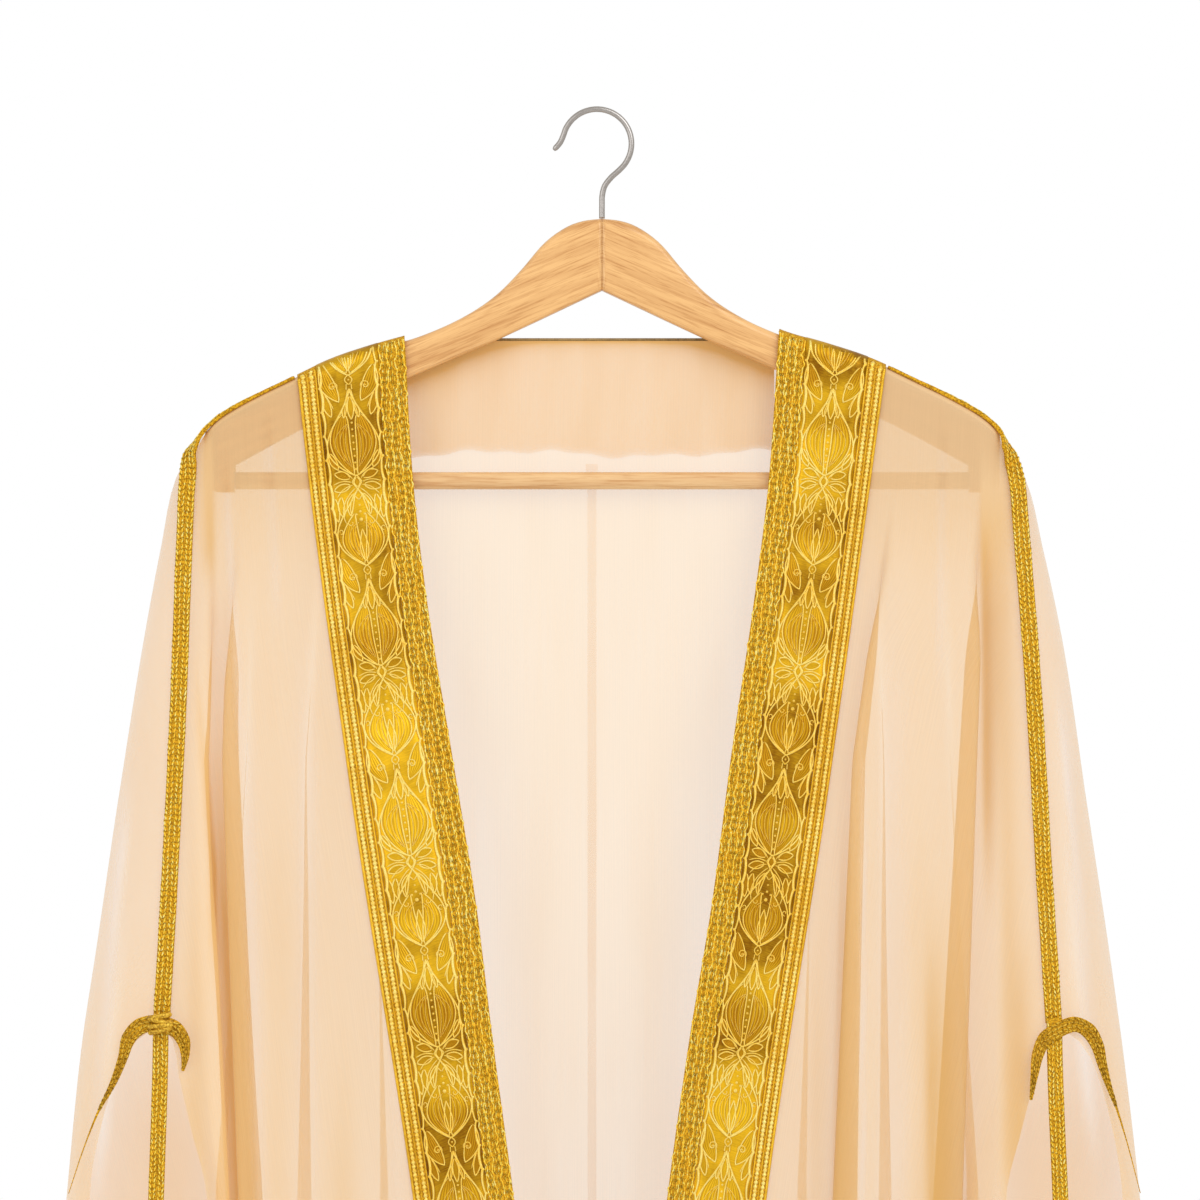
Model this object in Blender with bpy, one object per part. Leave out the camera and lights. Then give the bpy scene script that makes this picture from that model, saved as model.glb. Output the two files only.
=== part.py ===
"""A sheer bisht cloak with gold bands, hung open on a wooden suit hanger.

Metres, +Z up, the wearer's front towards -Y, so the left of the picture is -X.
The origin is the point under the hook's top bend that rests on a rail.

The cloth is four panels.  Each panel is a surface of two parameters, `across`
and a height, and its wall is that surface and a copy of it moved out along its
normals.  Across the body a panel runs through stations: the front edge, the
band, then plain cloth and S-shaped folds in turn, and the braided seam.
"""

import bmesh
import bpy
import numpy as np
from mathutils import Vector
from mathutils.bvhtree import BVHTree

MM = 0.001
LEFT, RIGHT = -1, 1
SIDE_NAMES = {LEFT: "left", RIGHT: "right"}

# Colour, roughness and metallic value
CLOTH_FINISH = ((0.90, 0.78, 0.62), 0.75, 0.0)
GOLD_FINISH = ((0.72, 0.47, 0.07), 0.35, 0.6)
BRAID_FINISH = ((0.62, 0.42, 0.06), 0.45, 0.6)
PIPING_FINISH = ((0.45, 0.33, 0.14), 0.6, 0.0)
WOOD_FINISH = ((0.78, 0.45, 0.20), 0.4, 0.0)
STEEL_FINISH = ((0.60, 0.60, 0.60), 0.25, 1.0)

# Walls and clearances
CLOTH = 1.2 * MM
GAP = 0.35 * MM
TRIM = 1.1 * MM
RIDGE_CLEARANCE = 1.4 * MM

# Hanger
BOARD_HALF = 6.5 * MM
BOARD_CHAMFER = 4.5 * MM
BOARD_END = 220.7 * MM
HEEL_FACE = 204.0 * MM
BAR_RADIUS = 4.8 * MM
BAR_HEIGHT = -205.0 * MM
WIRE_RADIUS = 1.6 * MM
HOOK_RADIUS = 19.2 * MM
HOOK_CENTRE = (-2.8 * MM, -17.6 * MM)
# Upper edge of an arm: distance from the middle, height
BOARD_TOP = [(0, -59.5), (10, -60.6), (19, -63.7), (32, -72.9), (45, -88.0), (58, -101.2), (74, -112.4),
             (100, -124.4), (125, -131.8), (150, -140.2), (170, -149.6), (200, -164.6), (212, -172.2),
             (BOARD_END / MM, -180.0)]
# Lower edge of an arm, without its heel
BOARD_FOOT = [(0, -99.3), (58, -126.5), (111, -149.6), (170, -178.0), (HEEL_FACE / MM, -196.5)]
HEEL_FOOT = -211.5

# Shoulder end of the cloth's ridge, where the braided seam turns down
TIP = 221.6 * MM
TIP_HEIGHT = -178.6 * MM
NECKLINE = -127.3 * MM
CENTRE_BACK = -5.6 * MM
FLAP_START = 10.0 * MM
HEM_MIDDLE = -1.545
HEM_DROP = 0.05
HEM_REACH = 0.30

# Height, then distance from the middle for the left and the right side, in millimetres
FRONT_EDGE = [(-120, 109.7, 98.2), (-207, 104.5, 92.2), (-274, 96.5, 83.8), (-355, 83.0, 71.6),
              (-438, 69.5, 60.6), (-514, 60.0, 47.9), (-603, 48.0, 35.4), (-700, 36.5, 24.5),
              (-800, 29.0, 17.0), (-950, 24.0, 12.0), (-1720, 22.0, 10.0)]
BAND_EDGE = [(-120, 170.5, 160.0), (-146, 169.0, 156.9), (-371, 139.8, 125.7), (-604, 103.4, 90.0),
             (-700, 92.0, 80.0), (-800, 85.0, 73.0), (-950, 80.0, 68.0), (-1720, 78.0, 66.0)]
ARM_SEAM = [(-179, 221.6, 221.6), (-188, 226.0, 223.6), (-203, 229.5, 229.4), (-229, 230.9, 231.9),
            (-328, 234.0, 238.8), (-420, 238.0, 243.5), (-507, 242.6, 248.7), (-560, 246.0, 251.0),
            (-720, 250.0, 255.0), (-1000, 256.0, 259.0), (-1720, 268.0, 270.0)]
SIDE_LINE = [(-179, 222.0, 222.0), (-188, 227.6, 225.4), (-203, 236.0, 234.4), (-242, 244.6, 244.4),
             (-296, 254.6, 255.8), (-381, 268.1, 268.5), (-466, 280.7, 281.4), (-514, 288.0, 288.0),
             (-604, 297.0, 298.4), (-700, 305.0, 306.0), (-900, 314.0, 315.0), (-1200, 324.0, 324.0),
             (-1720, 336.0, 336.0)]
# Height, then how far the front and the back stand from the middle plane
DEPTHS = [(-120, 7.4, 8.9), (-205, 7.6, 8.9), (-300, 16.0, 14.0), (-400, 24.0, 21.0), (-600, 34.0, 30.0),
          (-1000, 42.0, 38.0), (-1720, 46.0, 42.0)]
# Height, then how far the hand slit's front and back lips part
SLIT = [(-506, 0, 0), (-514, 7, 13), (-530, 11, 21), (-560, 20, 29), (-604, 31, 34), (-650, 24, 27),
        (-700, 8, 8), (-725, 0, 0)]
KNOT_HEIGHT = -507 * MM
BAND_END = -830 * MM

# Folds: place at three heights, then cloth taken up and turn in degrees at HIGH and at LOW, step
PLACE_HEIGHTS = (-0.18, -0.36, -0.60)
HIGH, LOW = -0.30, -0.60
FRONT_FOLDS = {
    LEFT: [dict(place=(202, 205, 193), cloth=(26, 36), turn=(160, 180), step=-1, start=-0.213),
           dict(place=(214, 219, 207), cloth=(20, 22), turn=(118, 125), step=1, start=-0.213)],
    RIGHT: [dict(place=(166, 142, 134), cloth=(24, 38), turn=(150, 184), step=1, start=-0.20),
            dict(place=(211, 201, 189), cloth=(28, 40), turn=(156, 186), step=-1, start=-0.20)],
}
BACK_FOLDS = {
    LEFT: [dict(place=(98, 90, 76), cloth=(14, 22), turn=(60, 120), step=1, start=-0.34),
           dict(place=(114, 126, 122), cloth=(16, 26), turn=(70, 135), step=-1, start=-0.27),
           dict(place=(154, 166, 168), cloth=(18, 28), turn=(90, 150), step=1, start=-0.22),
           dict(place=(192, 198, 214), cloth=(18, 28), turn=(90, 140), step=-1, start=-0.22)],
    RIGHT: [dict(place=(98, 86, 68), cloth=(14, 22), turn=(60, 120), step=1, start=-0.36),
            dict(place=(114, 118, 112), cloth=(16, 26), turn=(70, 140), step=-1, start=-0.25),
            dict(place=(152, 158, 160), cloth=(18, 28), turn=(90, 145), step=1, start=-0.23),
            dict(place=(190, 194, 208), cloth=(18, 28), turn=(90, 150), step=-1, start=-0.22)],
}
FOLD_GROWTH = 0.11

# Rows of a panel: height at the seam, in millimetres, below the first few that turn over the ridge
RIDGE_ROWS = [0.0, 1.2, 3.0, 6.0, 12.0]
PANEL_ROWS = [-205, -240, -295, -360, -430, -506, -530, -560, -604, -650, -690, -725,
              -830, -1000, -1250]
FOLD_STOPS = [0.0, 0.24, 0.42, 0.58, 0.76, 1.0]
FREE_CLOTH = 0.2
# Columns under the band: the edge braid, the brocade and the striped border lie between them
BAND_COLUMNS = [0.0, 0.256, 0.536, 0.816, 1.0]

PIPING_RADIUS = 1.3 * MM
# Arm braid: its lines beside the seam, each with the places it is laid from, and its rows below the tip
BRAID_STRIPS = [(4.9, (4.9, 2.8)), (0.0, (0.9, -0.9)), (-4.9, (-4.9, -2.8))]
SEAM_ROWS = [-183, -187, -191, -196, -202, -210, -222, -240, -295, -325, -360, -395, -430, -465, -499]
BRAID_LIFT = GAP + 0.2 * MM
BRAID_FLAT_BELOW = -400 * MM
TIP_LIFT, TIP_LIFT_HEIGHT, TIP_LIFT_REACH = 0.6 * MM, -187 * MM, 13 * MM
TAIL_TOP, TAIL_END = -501 * MM, -652 * MM
TAIL_WIDTH, TAIL_THICKNESS = 9.6 * MM, 1.6 * MM
TAIL_SWAY = {LEFT: -3.5, RIGHT: 4.5}
# Arch of braid round a slit's top: distance out from the seam's line, height, width of the braid
ARCH = {
    LEFT: [(-12.3, -530, 1.6), (-13.6, -522, 4.5), (-12.6, -513.5, 7.5), (-8.0, -507.0, 9.0),
           (-1.0, -504.5, 9.2), (4.5, -504.0, 9.4), (9.8, -505.0, 9.2), (17.4, -512.0, 8.0),
           (20.8, -523.0, 5.4), (26.0, -536.5, 3.8), (33.9, -551.7, 1.6)],
    RIGHT: [(-13.2, -545.8, 1.6), (-11.4, -532.6, 4.2), (-9.0, -520.0, 6.8), (-5.5, -512.5, 8.0),
            (2.0, -507.6, 8.4), (11.0, -504.4, 8.4), (18.6, -508.0, 8.6), (23.6, -516.1, 7.2),
            (26.4, -526.3, 5.4), (29.4, -536.5, 3.8), (34.4, -550.9, 1.6)],
}
KNOT_PLACE = -503.6 * MM
KNOT_SIZE = (6.4 * MM, 2.6 * MM, 5.4 * MM)


def smooth(x):
    """Ease from 0 to 1 as x goes from 0 to 1."""
    x = np.clip(x, 0.0, 1.0)
    return x * x * (3.0 - 2.0 * x)


def curve(rows, at, column=1):
    """A smooth line through a table's rows, read at `at`; both are metres outside the table."""
    table = np.array(rows, float)
    table = table[np.argsort(table[:, 0])] * MM
    x, y = table[:, 0], table[:, column]
    slopes = np.diff(y) / np.diff(x)
    tangents = np.concatenate([slopes[:1], (slopes[1:] + slopes[:-1]) / 2.0, slopes[-1:]])
    tangents[1:-1] = np.where(slopes[1:] * slopes[:-1] <= 0.0, 0.0, tangents[1:-1])
    at = np.clip(np.asarray(at, float), x[0], x[-1])
    i = np.clip(np.searchsorted(x, at) - 1, 0, len(x) - 2)
    h = x[i + 1] - x[i]
    t = (at - x[i]) / h
    return ((2 * t**3 - 3 * t**2 + 1) * y[i] + (t**3 - 2 * t**2 + t) * h * tangents[i]
            + (3 * t**2 - 2 * t**3) * y[i + 1] + (t**3 - t**2) * h * tangents[i + 1])


def side_curve(rows, side, height):
    """A table's left or right column, as a distance from the middle."""
    return curve(rows, height, 1 if side == LEFT else 2)


def board_top(x):
    return curve(BOARD_TOP, np.abs(x))


def ridge(x):
    """Height of the cloth's inner face over the arm."""
    return board_top(x) + RIDGE_CLEARANCE


def hem(x):
    """The hem drops towards the sides, as a square-cut cloak does on a hanger."""
    return HEM_MIDDLE - HEM_DROP * (np.abs(x) / HEM_REACH) ** 2


def over_ridge(below):
    """0 on the ridge, 1 from a board's rounding below it."""
    return np.sqrt(np.maximum(1.0 - (1.0 - np.clip(below / 0.006, 0.0, 1.0)) ** 2, 0.0))


def fold_path(q, turn):
    """Where an S-fold of unit length has got to after the share q.

    The cloth's direction turns by turn * sin(pi q)^2, so it leaves and arrives
    straight; past a right angle it runs back over itself.  The path is the
    integral of that direction.
    """
    steps = (np.arange(48) + 0.5) / 48
    q, turn = np.broadcast_arrays(np.asarray(q, float), np.asarray(turn, float))
    angle = turn[..., None] * np.sin(np.pi * q[..., None] * steps) ** 2
    return q * np.cos(angle).mean(-1), q * np.sin(angle).mean(-1)


def fold_sizes(fold, height):
    """A fold's place, cloth and turn at a height."""
    share = np.clip((HIGH - height) / (HIGH - LOW), 0.0, 1.2)
    grown = smooth((fold["start"] - height) / FOLD_GROWTH)
    place = np.interp(height, PLACE_HEIGHTS[::-1], fold["place"][::-1])
    cloth, turn = (fold[k][0] + (fold[k][1] - fold[k][0]) * share for k in ("cloth", "turn"))
    return place * MM, cloth * MM * (FREE_CLOTH + (1 - FREE_CLOTH) * grown), np.radians(turn) * grown


def folded(across, height, folds, start, end):
    """Distance from the middle, and distance out, at `across` stations between start and end.

    Station 0 is start; then plain cloth and folds take turns, one unit each, up to end.
    The plain stretches share out what the folds leave over, so the last one ends level.
    """
    along = np.array(start, float) + np.zeros_like(across)
    out = np.zeros_like(across)
    level = np.zeros_like(across)
    last = np.array(start, float) + np.zeros_like(across)
    for number, fold in enumerate(folds):
        place, cloth, turn = fold_sizes(fold, height)
        span, rise = fold_path(1.0, turn)
        begin, step = place - span * cloth / 2, fold["step"]
        plain = np.clip(across - 2 * number, 0.0, 1.0)
        inside = np.clip(across - 2 * number - 1, 0.0, 1.0)
        on_plain = (across >= 2 * number) & (across <= 2 * number + 1)
        on_fold = (across > 2 * number + 1) & (across <= 2 * number + 2)
        x, y = fold_path(inside, turn)
        along = np.where(on_plain, last + (begin - last) * plain, along)
        out = np.where(on_plain, level, out)
        along = np.where(on_fold, begin + cloth * x, along)
        out = np.where(on_fold, level + step * cloth * y, out)
        last = begin + span * cloth
        level = level + step * rise * cloth
    rest = np.clip(across - 2 * len(folds), 0.0, 1.0)
    on_rest = across >= 2 * len(folds)
    along = np.where(on_rest, last + (end - last) * rest, along)
    out = np.where(on_rest, level * (1.0 - smooth(rest)), out)
    return along, out


def seam_depth(height):
    """How far forward the arm seam is: none at the shoulder's tip, the front's depth below it."""
    return curve(DEPTHS, height) * over_ridge((TIP_HEIGHT - height) / 1.9)


def slit_lip(height, column):
    """How far a lip of the hand slit stands from the seam's line."""
    return np.where((height < -0.506) & (height > -0.725), curve(SLIT, height, column), 0.0)


def tip_zone(height):
    """1 round the shoulder's tip and 0 below it."""
    return smooth((height + 0.215) / 0.02)


def front_section(side, across, height):
    """The front panel at a height: 0 to 1 is under the band, then plain cloth and folds."""
    inner = side_curve(FRONT_EDGE, side, height)
    band = side_curve(BAND_EDGE, side, height)
    seam = side_curve(ARM_SEAM, side, np.minimum(height, TIP_HEIGHT))
    seam = seam - slit_lip(height, 1) - GAP / 2 - 1.4 * MM * tip_zone(height)
    along, out = folded(np.maximum(across - 1.0, 0.0), height, FRONT_FOLDS[side], band, seam)
    along = np.where(across < 1.0, inner + (band - inner) * across, along)
    depth = curve(DEPTHS, height)
    lip = smooth((across - 2 * len(FRONT_FOLDS[side]) - 1.0)) * slit_lip(height, 1)
    return along, depth + out + 0.25 * lip


def front_surface(side, across, down):
    """Inner face of a front panel.  `down` is 0 on the ridge and 1 at the hem."""
    across, down = np.broadcast_arrays(np.asarray(across, float), np.asarray(down, float))
    height = -0.15 * (1 - down) + HEM_MIDDLE * down
    for _ in range(5):
        along, _ = front_section(side, across, height)
        height = ridge(np.minimum(along, TIP)) * (1 - down) + hem(along) * down
    along, depth = front_section(side, across, height)
    below = ridge(np.minimum(along, TIP)) - height
    edge = np.maximum(across - 2 * len(FRONT_FOLDS[side]) - 1.0, 0.0)
    rounding = over_ridge(below * (1 - edge * 0.47))
    return np.stack([side * along, -GAP / 2 - depth * rounding, height], -1)


def back_section(side, across, height):
    """The back at a height: folds, a rounded side, then a flap that comes forward to the seam."""
    folds = BACK_FOLDS[side]
    plain_end = 2 * len(folds) + 1
    middle = side * CENTRE_BACK + GAP / 2
    line = side_curve(SIDE_LINE, side, np.minimum(height, TIP_HEIGHT))
    seam = side_curve(ARM_SEAM, side, np.minimum(height, TIP_HEIGHT)) + GAP / 2
    lip_at = seam + slit_lip(height, 2) + 0.5 * MM * tip_zone(height)
    rounding = 0.009 + 0.024 * smooth((-0.19 - height) / 0.4)
    along, out = folded(np.minimum(across, plain_end), height, folds, middle, line - rounding)
    depth = curve(DEPTHS, height, 2)
    corner = np.clip(across - plain_end, 0.0, 1.0) * np.pi / 2
    along = np.where(across > plain_end, line - rounding * (1 - np.sin(corner)), along)
    back = (depth + out) * np.where(across > plain_end, np.cos(corner), 1.0)
    reach = np.maximum(line - seam, 0.0004)
    lip_angle = np.arccos(np.clip(1.0 - (line - lip_at) / reach, 0.0, 1.0))
    turn = np.clip(across - plain_end - 1, 0.0, 1.0) * lip_angle
    along = np.where(across > plain_end + 1, line - reach * (1 - np.cos(turn)), along)
    front = (seam_depth(height) + 0.25 * slit_lip(height, 2)) * np.sin(turn)
    return along, np.where(across > plain_end + 1, -front, back)


def back_surface(side, across, down):
    """Inner face of a half of the back.  `down` is 0 at the neckline and ridge and 1 at the hem."""
    across, down = np.broadcast_arrays(np.asarray(across, float), np.asarray(down, float))
    plain_end = 2 * len(BACK_FOLDS[side]) + 1
    flap = np.clip(across - plain_end - 0.3, 0.0, 1.7) / 1.7
    height = -0.15 * (1 - down) + HEM_MIDDLE * down
    for _ in range(5):
        along, _ = back_section(side, across, height)
        top = np.minimum(ridge(np.minimum(np.abs(along), TIP)), NECKLINE)
        top = np.where(flap > 0, np.minimum(top, TIP_HEIGHT - FLAP_START * flap), top)
        height = top * (1 - down) + hem(along) * down
    along, depth = back_section(side, across, height)
    below = ridge(np.minimum(np.abs(along), TIP)) - height
    rounding = np.where(depth > 0, over_ridge(below), 1.0)
    shift = np.where(across > plain_end, GAP / 2 * (1 - np.clip(across - plain_end, 0, 1)), GAP / 2)
    return np.stack([side * along, shift + depth * rounding, height], -1)


def normals(surface, side, across, down, outward):
    """Unit normals of a surface, from small steps either way, on the side that `outward` gives."""
    aside, lower = 0.03, 6e-4
    along = surface(side, across + aside, down) - surface(side, across - aside, down)
    drop = surface(side, across, np.minimum(down + lower, 1)) - surface(side, across, np.maximum(down - lower, 0))
    found = np.cross(along, drop)
    found /= np.maximum(np.linalg.norm(found, axis=-1, keepdims=True), 1e-12)
    return found * outward


def moved_out(surface, side, across, down, distance, outward):
    """Points of a panel, moved out from its inner face."""
    return surface(side, across, down) + distance * normals(surface, side, across, down, outward)


def fold_columns(first, folds, plain):
    """Column values over plain stretches and folds in turn, from station `first`."""
    values = []
    for number in range(len(folds)):
        values += list(first + 2 * number + np.arange(plain) / plain)
        values += [first + 2 * number + 1 + q for q in FOLD_STOPS[:-1]]
    values += list(first + 2 * len(folds) + np.arange(plain + 1) / plain)
    return np.array(values)


def panel_rows():
    """`down` values of a panel's rows, dense where it turns over the ridge."""
    span = abs(hem(0.25)) - abs(TIP_HEIGHT)
    ridge_rows = [r * MM / span for r in RIDGE_ROWS]
    rows = [(abs(r * MM) - abs(TIP_HEIGHT)) / span for r in PANEL_ROWS]
    return np.array(ridge_rows + rows + [1.0])


def material(name, finish):
    """A plain Principled material with a finish's colour, roughness and metallic value."""
    colour, roughness, metallic = finish
    made = bpy.data.materials.new(name)
    made.use_nodes = True
    shader = made.node_tree.nodes["Principled BSDF"]
    shader.inputs["Base Color"].default_value = (*colour, 1.0)
    shader.inputs["Roughness"].default_value = roughness
    shader.inputs["Metallic"].default_value = metallic
    return made


def add_object(name, points, faces, finish):
    """One closed mesh as an object, its faces turned out and made triangles."""
    mesh = bpy.data.meshes.new(name)
    mesh.from_pydata([tuple(p) for p in points], [], [list(f) for f in faces])
    edit = bmesh.new()
    edit.from_mesh(mesh)
    bmesh.ops.remove_doubles(edit, verts=edit.verts, dist=1e-6)
    bmesh.ops.triangulate(edit, faces=edit.faces)
    bmesh.ops.recalc_face_normals(edit, faces=edit.faces)
    edit.to_mesh(mesh)
    edit.free()
    mesh.shade_smooth()
    mesh.materials.append(material(name, finish))
    made = bpy.data.objects.new(name, mesh)
    bpy.context.collection.objects.link(made)
    return made


def wall(name, inner, outer, finish):
    """A closed wall between two grids of points with the same rows and columns."""
    rows, columns = inner.shape[:2]
    count = rows * columns

    def at(layer, i, j):
        return layer * count + i * columns + j

    faces = []
    for i in range(rows - 1):
        for j in range(columns - 1):
            for layer in (0, 1):
                faces.append([at(layer, i, j), at(layer, i, j + 1), at(layer, i + 1, j + 1), at(layer, i + 1, j)])
    for i in range(rows - 1):
        for j in (0, columns - 1):
            faces.append([at(0, i, j), at(0, i + 1, j), at(1, i + 1, j), at(1, i, j)])
    for j in range(columns - 1):
        for i in (0, rows - 1):
            faces.append([at(0, i, j), at(1, i, j), at(1, i, j + 1), at(0, i, j + 1)])
    points = np.concatenate([inner.reshape(-1, 3), outer.reshape(-1, 3)])
    return add_object(name, points, faces, finish)


def loft(name, rings, finish):
    """A closed solid through rings of equal length, capped at both ends."""
    rings = np.array(rings)
    count, sides = rings.shape[:2]
    faces = []
    for i in range(count - 1):
        for j in range(sides):
            k = (j + 1) % sides
            faces.append([i * sides + j, i * sides + k, (i + 1) * sides + k, (i + 1) * sides + j])
    faces.append(list(range(sides)))
    faces.append(list(range((count - 1) * sides, count * sides)))
    return add_object(name, rings.reshape(-1, 3), faces, finish)


def panel(name, surface, side, across, down, outward, finish, near=0.0, far=CLOTH):
    """A piece of cloth or trim: the stretch of a panel between two distances from its inner face."""
    grid_across, grid_down = np.meshgrid(across, down)
    inner = moved_out(surface, side, grid_across, grid_down, near, outward)
    outer = moved_out(surface, side, grid_across, grid_down, far, outward)
    return wall(name, inner, outer, finish)


def outward_of(surface, side):
    """Which way round a panel's normals point away from the body."""
    probe = normals(surface, side, np.array([0.5]), np.array([0.5]), 1)[0]
    wanted = -1.0 if surface is front_surface else 1.0
    return 1 if probe[1] * wanted > 0 else -1


def front_panels(cloth):
    for side in (LEFT, RIGHT):
        across = np.concatenate([BAND_COLUMNS[:-1], fold_columns(1.0, FRONT_FOLDS[side], 2)])
        panel(f"front_{SIDE_NAMES[side]}", front_surface, side, across, panel_rows(),
              outward_of(front_surface, side), cloth)


def back_panels(cloth):
    for side in (LEFT, RIGHT):
        folds = BACK_FOLDS[side]
        plain_end = 2 * len(folds) + 1
        across = np.concatenate([fold_columns(0.0, folds, 1)[:-1],
                                 plain_end + np.linspace(0, 1, 4)[:-1],
                                 plain_end + 1 + np.linspace(0, 1, 5)])
        panel(f"back_{SIDE_NAMES[side]}", back_surface, side, across, panel_rows(),
              outward_of(back_surface, side), cloth)


def band_pieces(gold, braid):
    """Edge braid, brocade band and striped border, laid on each front's band zone."""
    rows = panel_rows()
    heights = front_surface(LEFT, np.full(rows.shape, 2.0 * len(FRONT_FOLDS[LEFT]) + 2.0), rows)[:, 2]
    upper = rows[heights > BAND_END - MM]
    whole = np.append(rows[:-1], 0.9995)
    near = CLOTH + GAP
    trims = [("edge_braid", [0.0, 0.25], whole, braid),
             ("brocade", [0.262, 0.536, 0.81], upper, gold),
             ("stripe_border", [0.822, 0.995], upper, gold)]
    for side in (LEFT, RIGHT):
        for piece, across, down, finish in trims:
            panel(f"{piece}_{SIDE_NAMES[side]}", front_surface, side, np.array(across), down,
                  outward_of(front_surface, side), finish, near, near + TRIM)


def back_column(x):
    """The side and the `across` value of the back where it is flat, at a distance from the middle."""
    side = LEFT if x < CENTRE_BACK else RIGHT
    middle = side * CENTRE_BACK + GAP / 2
    place, cloth, _ = fold_sizes(BACK_FOLDS[side][0], NECKLINE)
    next_place, next_cloth, _ = fold_sizes(BACK_FOLDS[side][1], NECKLINE)
    begin, end = place - cloth / 2, place + cloth / 2
    stops = [middle, begin, end, next_place - next_cloth / 2]
    return side, float(np.interp(side * x, stops, [0.0, 1.0, 2.0, 3.0]))


def yoke(cloth):
    """Facing inside the back neck, its lower edge a little wavy, as the sheer cloth hangs."""
    span = abs(HEM_MIDDLE) - abs(NECKLINE)
    outline = np.array([-109, -104, -99, -80, -60, -40, -20, -6, 10, 30, 50, 70, 90, 96]) * MM
    top = np.where(np.abs(outline) > 0.0965, 8.0, 1.0) * MM
    foot = 62.5 * MM + 2.2 * MM * np.sin(outline * 90.0) + 1.2 * MM * np.sin(outline * 210.0 + 1.0)
    inner, outer = [], []
    for x, high, low in zip(outline, top, foot):
        side, across = back_column(x)
        down = np.array([high, 12 * MM, 38 * MM, low]) / span
        flat = np.full(down.shape, across)
        outward = outward_of(back_surface, side)
        inner.append(moved_out(back_surface, side, flat, down, -GAP - 0.9 * MM, outward))
        outer.append(moved_out(back_surface, side, flat, down, -GAP, outward))
    wall("yoke_facing", np.array(inner), np.array(outer), cloth)


def seam_strip(trim):
    """The strip that covers the centre-back seam inside, from the yoke to the hem."""
    rows = panel_rows()
    heights = back_surface(LEFT, np.zeros(rows.shape), rows)[:, 2]
    down = np.concatenate([[np.interp(0.1955, -heights, rows)], rows[heights < -0.21][:-1], [0.9995]])
    inner, outer = [], []
    for side in (LEFT, RIGHT):
        line = back_surface(side, np.zeros(down.shape), down)
        line[:, 0] = CENTRE_BACK + side * 3.4 * MM
        inner.append(line - [0, GAP + 0.8 * MM, 0])
        outer.append(line - [0, GAP, 0])
    wall("back_seam_strip", np.array(inner), np.array(outer), trim)


def piping(trim):
    """The piping that lies on the straight back neckline, behind the hanger."""
    ring = np.linspace(0, 2 * np.pi, 7)[:-1]
    z = NECKLINE + GAP + PIPING_RADIUS
    rings = []
    for x in np.linspace(-99 * MM, 92 * MM, 9):
        below = max(float(ridge(abs(x)) - NECKLINE), 0.0)
        y = GAP / 2 + float(curve(DEPTHS, NECKLINE, 2) * over_ridge(below)) + CLOTH / 2
        rings.append([(x, y + PIPING_RADIUS * np.cos(a), z + PIPING_RADIUS * np.sin(a)) for a in ring])
    loft("neck_piping", rings, trim)


def tree_of(names):
    """Search trees of finished pieces, to lay others on them."""
    trees = []
    for name in names:
        mesh = bpy.data.objects[name].data
        corners = [v.co.copy() for v in mesh.vertices]
        trees.append(BVHTree.FromPolygons(corners, [list(p.vertices) for p in mesh.polygons]))
    return trees


def laid_on(points, facings, trees, gap):
    """How far points have to move along their facing to stand `gap` clear of what lies under them."""
    reach = 0.08
    rises = []
    for p, f in zip(points, facings):
        p, f = Vector(p), Vector(f).normalized()
        hits = [tree.ray_cast(p + f * reach, -f, 2 * reach)[3] for tree in trees]
        nearest = min([h for h in hits if h is not None], default=reach + gap)
        rises.append(max(reach - nearest + gap, 0.0))
    return np.array(rises)


def seam_line(side, offset):
    """Points beside the arm seam, `offset` to its front (+) or back (-), and the way the braid faces."""
    points, facings = [], []
    start = float(side_curve(BAND_EDGE, side, -0.142)) + 1.2 * MM
    for along in np.linspace(start, TIP - 3.0 * MM, 8):
        slope = float(ridge(along + MM) - ridge(along - MM)) / (2 * MM)
        lean = np.clip(abs(offset) / (9.0 * MM), 0.0, 0.9)
        facing = np.array([-slope, 0.0, 1.0]) * np.sqrt(1 - lean**2) + np.array([0, -np.sign(offset) * lean, 0])
        drop = 0.006 * (1 - np.sqrt(1 - lean**2))
        points.append([along, -offset, float(ridge(along)) - drop])
        facings.append(facing)
    for height in np.array(SEAM_ROWS) * MM:
        seam = float(side_curve(ARM_SEAM, side, height))
        turn = float(smooth((TIP_HEIGHT - height) / 0.030))
        sideways = np.array([-turn, -(1 - turn), 0.25 * (1 - turn)])
        facing = np.array([0.8 * (1 - turn), -turn, 0.6 * (1 - turn)])
        lean = max(-offset, 0.0) / 0.012 * (1 - 0.75 * turn)
        facing = facing / np.linalg.norm(facing) + np.array([lean * turn * 0.6, lean * (1 - turn) * 1.2, 0.0])
        spot = np.array([seam, -float(seam_depth(height)), height])
        points.append(spot + offset * sideways / np.linalg.norm(sideways))
        facings.append(facing)
    points, facings = np.array(points), np.array(facings)
    mirror = np.array([side, 1.0, 1.0])
    facings /= np.linalg.norm(facings, axis=1, keepdims=True)
    return points * mirror, facings * mirror


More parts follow.
